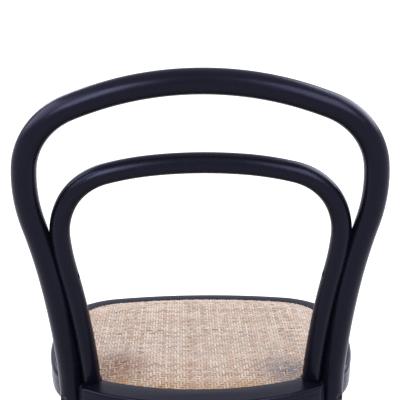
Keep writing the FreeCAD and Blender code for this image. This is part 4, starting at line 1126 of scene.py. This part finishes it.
def strip_lines(opening, direction, width, over, marks, seed):
    """One edge per strip across the opening, with the strip's own tone, stains and width."""
    rng = np.random.default_rng(seed)
    normal = Vector((-direction.y, direction.x))
    count = math.ceil(max(abs(p.dot(normal)) for p in opening) / STRIP_PITCH) + 1
    rows = []
    for across in (number * STRIP_PITCH for number in range(-count, count + 1)):
        spans = [chord(opening, normal * (across + shift), direction)
                 for shift in (-width / 2, 0.0, width / 2)]
        spans = [span for span in spans if span]
        tone, brown, grey = rng.beta(3.2, 1.6), rng.beta(1, 5), rng.beta(1, 6)
        girth = rng.uniform(0.93, 1.05)
        for place, more_brown, more_grey in marks:
            if abs(across - place) < STRIP_PITCH / 2:
                brown, grey = more_brown, more_grey
        if not spans:
            continue
        for distance in (min(span[0] for span in spans), max(span[1] for span in spans)):
            spot = normal * across + direction * distance
            rows.append(((spot.x, spot.y, 0.0), (tone, brown, grey), girth, across))
    points, strips, widths, numbers = zip(*rows)
    edges = [(index, index + 1) for index in range(0, len(points), 2)]
    return helper_object("strip_lines", points, edges, width=widths, number=numbers,
                         over=[over] * len(points), strip=strips)


def strip_section(width):
    """A strip's section: flat below, rounded above."""
    half, thick = width / 2, STRIP_THICKNESS / 2
    shoulder, flat = -0.1 * thick, 0.45 * half
    return section_object("strip_section", [(-half, -thick), (half, -thick), (half, shoulder),
                                            (flat, thick), (-flat, thick), (-half, shoulder)])


def weave():
    """The warp, from front to rear, and the weft across it, over two and under two."""
    opening = opening_points()
    opening_face = helper_object("opening", [(p.x, p.y, 0) for p in opening],
                                 faces=[tuple(range(len(opening)))])
    edge = [(p.x, p.y, 0) for p in seat_outline(BORDER + PANEL_GAP)]
    crown_edge = line_object("crown_edge", edge, closed=True)
    tree = weave_tree()
    for name, angle, width, over, marks, seed in (
            ("rattan_warp", math.pi / 2, WARP_WIDTH, 1.0, WARP_MARKS, 11),
            ("rattan_weft", 0.0, WEFT_WIDTH, -1.0, WEFT_MARKS, 23)):
        direction, section = towards(angle + WEAVE_TURN), strip_section(width)
        lines = strip_lines(opening, direction, width, over, marks, seed)
        strips = grown(name, tree, lines, Edge=crown_edge, Opening=opening_face, Profile=section,
                       Pitch=STRIP_PITCH, Rise=STRIP_THICKNESS / 2,
                       EdgeHeight=SEAT_TOP - PANEL_DROP - STRIP_THICKNESS,
                       CrownHeight=CROWN_HEIGHT, CrownRun=CROWN_RUN, Turn=(0.0, 0.0, -WEAVE_TURN),
                       Material=RATTAN)
        discard([section])
        dress(strips, "rattan_panel")
    discard([opening_face, crown_edge])


weave()


# Floor, light and camera

WHITE = (1.0, 1.0, 1.0, 1.0)
COOL_WHITE = paint("#e9ebff")


def shown_rays():
    """1 for the rays that show the background: from the camera, mirrored or through glass."""
    path = add("ShaderNodeLightPath").outputs
    seen = math_of("MAXIMUM", path["Is Camera Ray"], path["Is Transmission Ray"])
    return math_of("MAXIMUM", seen, path["Is Glossy Ray"])


def gloss_colour():
    """White for the camera; a little cooler in the gloss, as the studio's own white is."""
    glossy = result("ShaderNodeLightPath", output="Is Glossy Ray")
    return mixed(glossy, WHITE, COOL_WHITE)


def floor():
    """A pale floor that glows to white away from the chair and keeps its shadow near it."""
    def build(bm):
        bmesh.ops.create_circle(bm, cap_ends=True, segments=96, radius=30.0)

    ground = shapes_object("studio_floor", build)
    material, inputs = new_finish("pale_studio_floor", "#dedede", 0.9, 0.1)
    away = vector_math("LENGTH", {0: place_of()}, "Value")
    glow = spread(away, 0.35, 0.85, 0.22, 1.0)
    link(gloss_colour(), inputs["Emission Color"])
    link(times(shown_rays(), glow), inputs["Emission Strength"])
    ground.data.materials.append(material)


def studio():
    """White all round for the camera and in the gloss; softer on the object itself."""
    world = bpy.data.worlds.new("studio")
    bpy.context.scene.world = world
    world.use_nodes = True
    BEGUN.append(world.node_tree)
    back = world.node_tree.nodes["Background"].inputs
    link(gloss_colour(), back["Color"])
    link(math_of("MAXIMUM", shown_rays(), 0.55), back["Strength"])


LIT_POINT = Vector((0, 0.15, 0.72))
# Panels round the chair, 2.4 m from the lit point: bearing in degrees from +Y towards +X, height
# in degrees above it, width and height in metres, and strength, 1 for a panel as bright as a lit
# white wall. A gleam only shows as a streak in the gloss; the overhead softbox only lights.
SOFTBOX_REACH = 2.4
SOFTBOXES = {
    "overhead_softbox": (0, 75, 2.4, 2.4, 2.17),
    "gleam_left_of_camera": (30, 24, 0.8, 1.3, 18.0),
    "gleam_right_of_camera": (-38, 26, 1.3, 1.5, 9.5),
    "gleam_left": (82, 32, 2.4, 1.5, 6.5),
    "gleam_right_rear": (-118, 32, 2.3, 1.8, 7.0),
    "gleam_left_rear": (150, 24, 0.9, 0.6, 4.5),
}


def softboxes():
    for name, (bearing, height, width, tall, strength) in SOFTBOXES.items():
        gleam = name.startswith("gleam")
        turn, lift = math.radians(bearing), math.radians(height)
        way = Vector((math.sin(turn) * math.cos(lift), math.cos(turn) * math.cos(lift),
                      math.sin(lift)))
        data = bpy.data.lights.new(name, "AREA")
        data.shape = "RECTANGLE"
        data.size, data.size_y = width, tall
        data.energy = strength * math.pi * width * tall
        data.color = (COOL_WHITE if gleam else WHITE)[:3]
        thing = placed(name, data)
        thing.location = LIT_POINT + way * SOFTBOX_REACH
        thing.rotation_mode = "QUATERNION"
        thing.rotation_quaternion = (-way).to_track_quat("-Z", "Y")
        thing.visible_camera = False
        thing.visible_diffuse = not gleam
        thing.visible_glossy = gleam


SENSOR_WIDTH = 36.0
# The photo's focal length and width in pixels
FOCAL_LENGTH, PHOTO_WIDTH = 991.1, 400


def camera():
    """The view of the photo: from behind and above, looking down at the seat and the back."""
    data = bpy.data.cameras.new("photo_camera")
    data.sensor_width = SENSOR_WIDTH
    data.lens = FOCAL_LENGTH * SENSOR_WIDTH / PHOTO_WIDTH
    data.clip_start, data.clip_end = 0.05, 100.0
    thing = placed("photo_camera", data)
    thing.location = (0.00733, 1.3105, 1.0083)
    aim = Vector((-0.0057, -0.9685, -0.2489)).to_track_quat("-Z", "Y")
    thing.rotation_mode = "QUATERNION"
    thing.rotation_quaternion = aim @ Quaternion((0, 0, 1), math.radians(-0.43))
    bpy.context.scene.camera = thing


floor()
studio()
softboxes()
camera()
bpy.context.scene.view_settings.view_transform = "Standard"
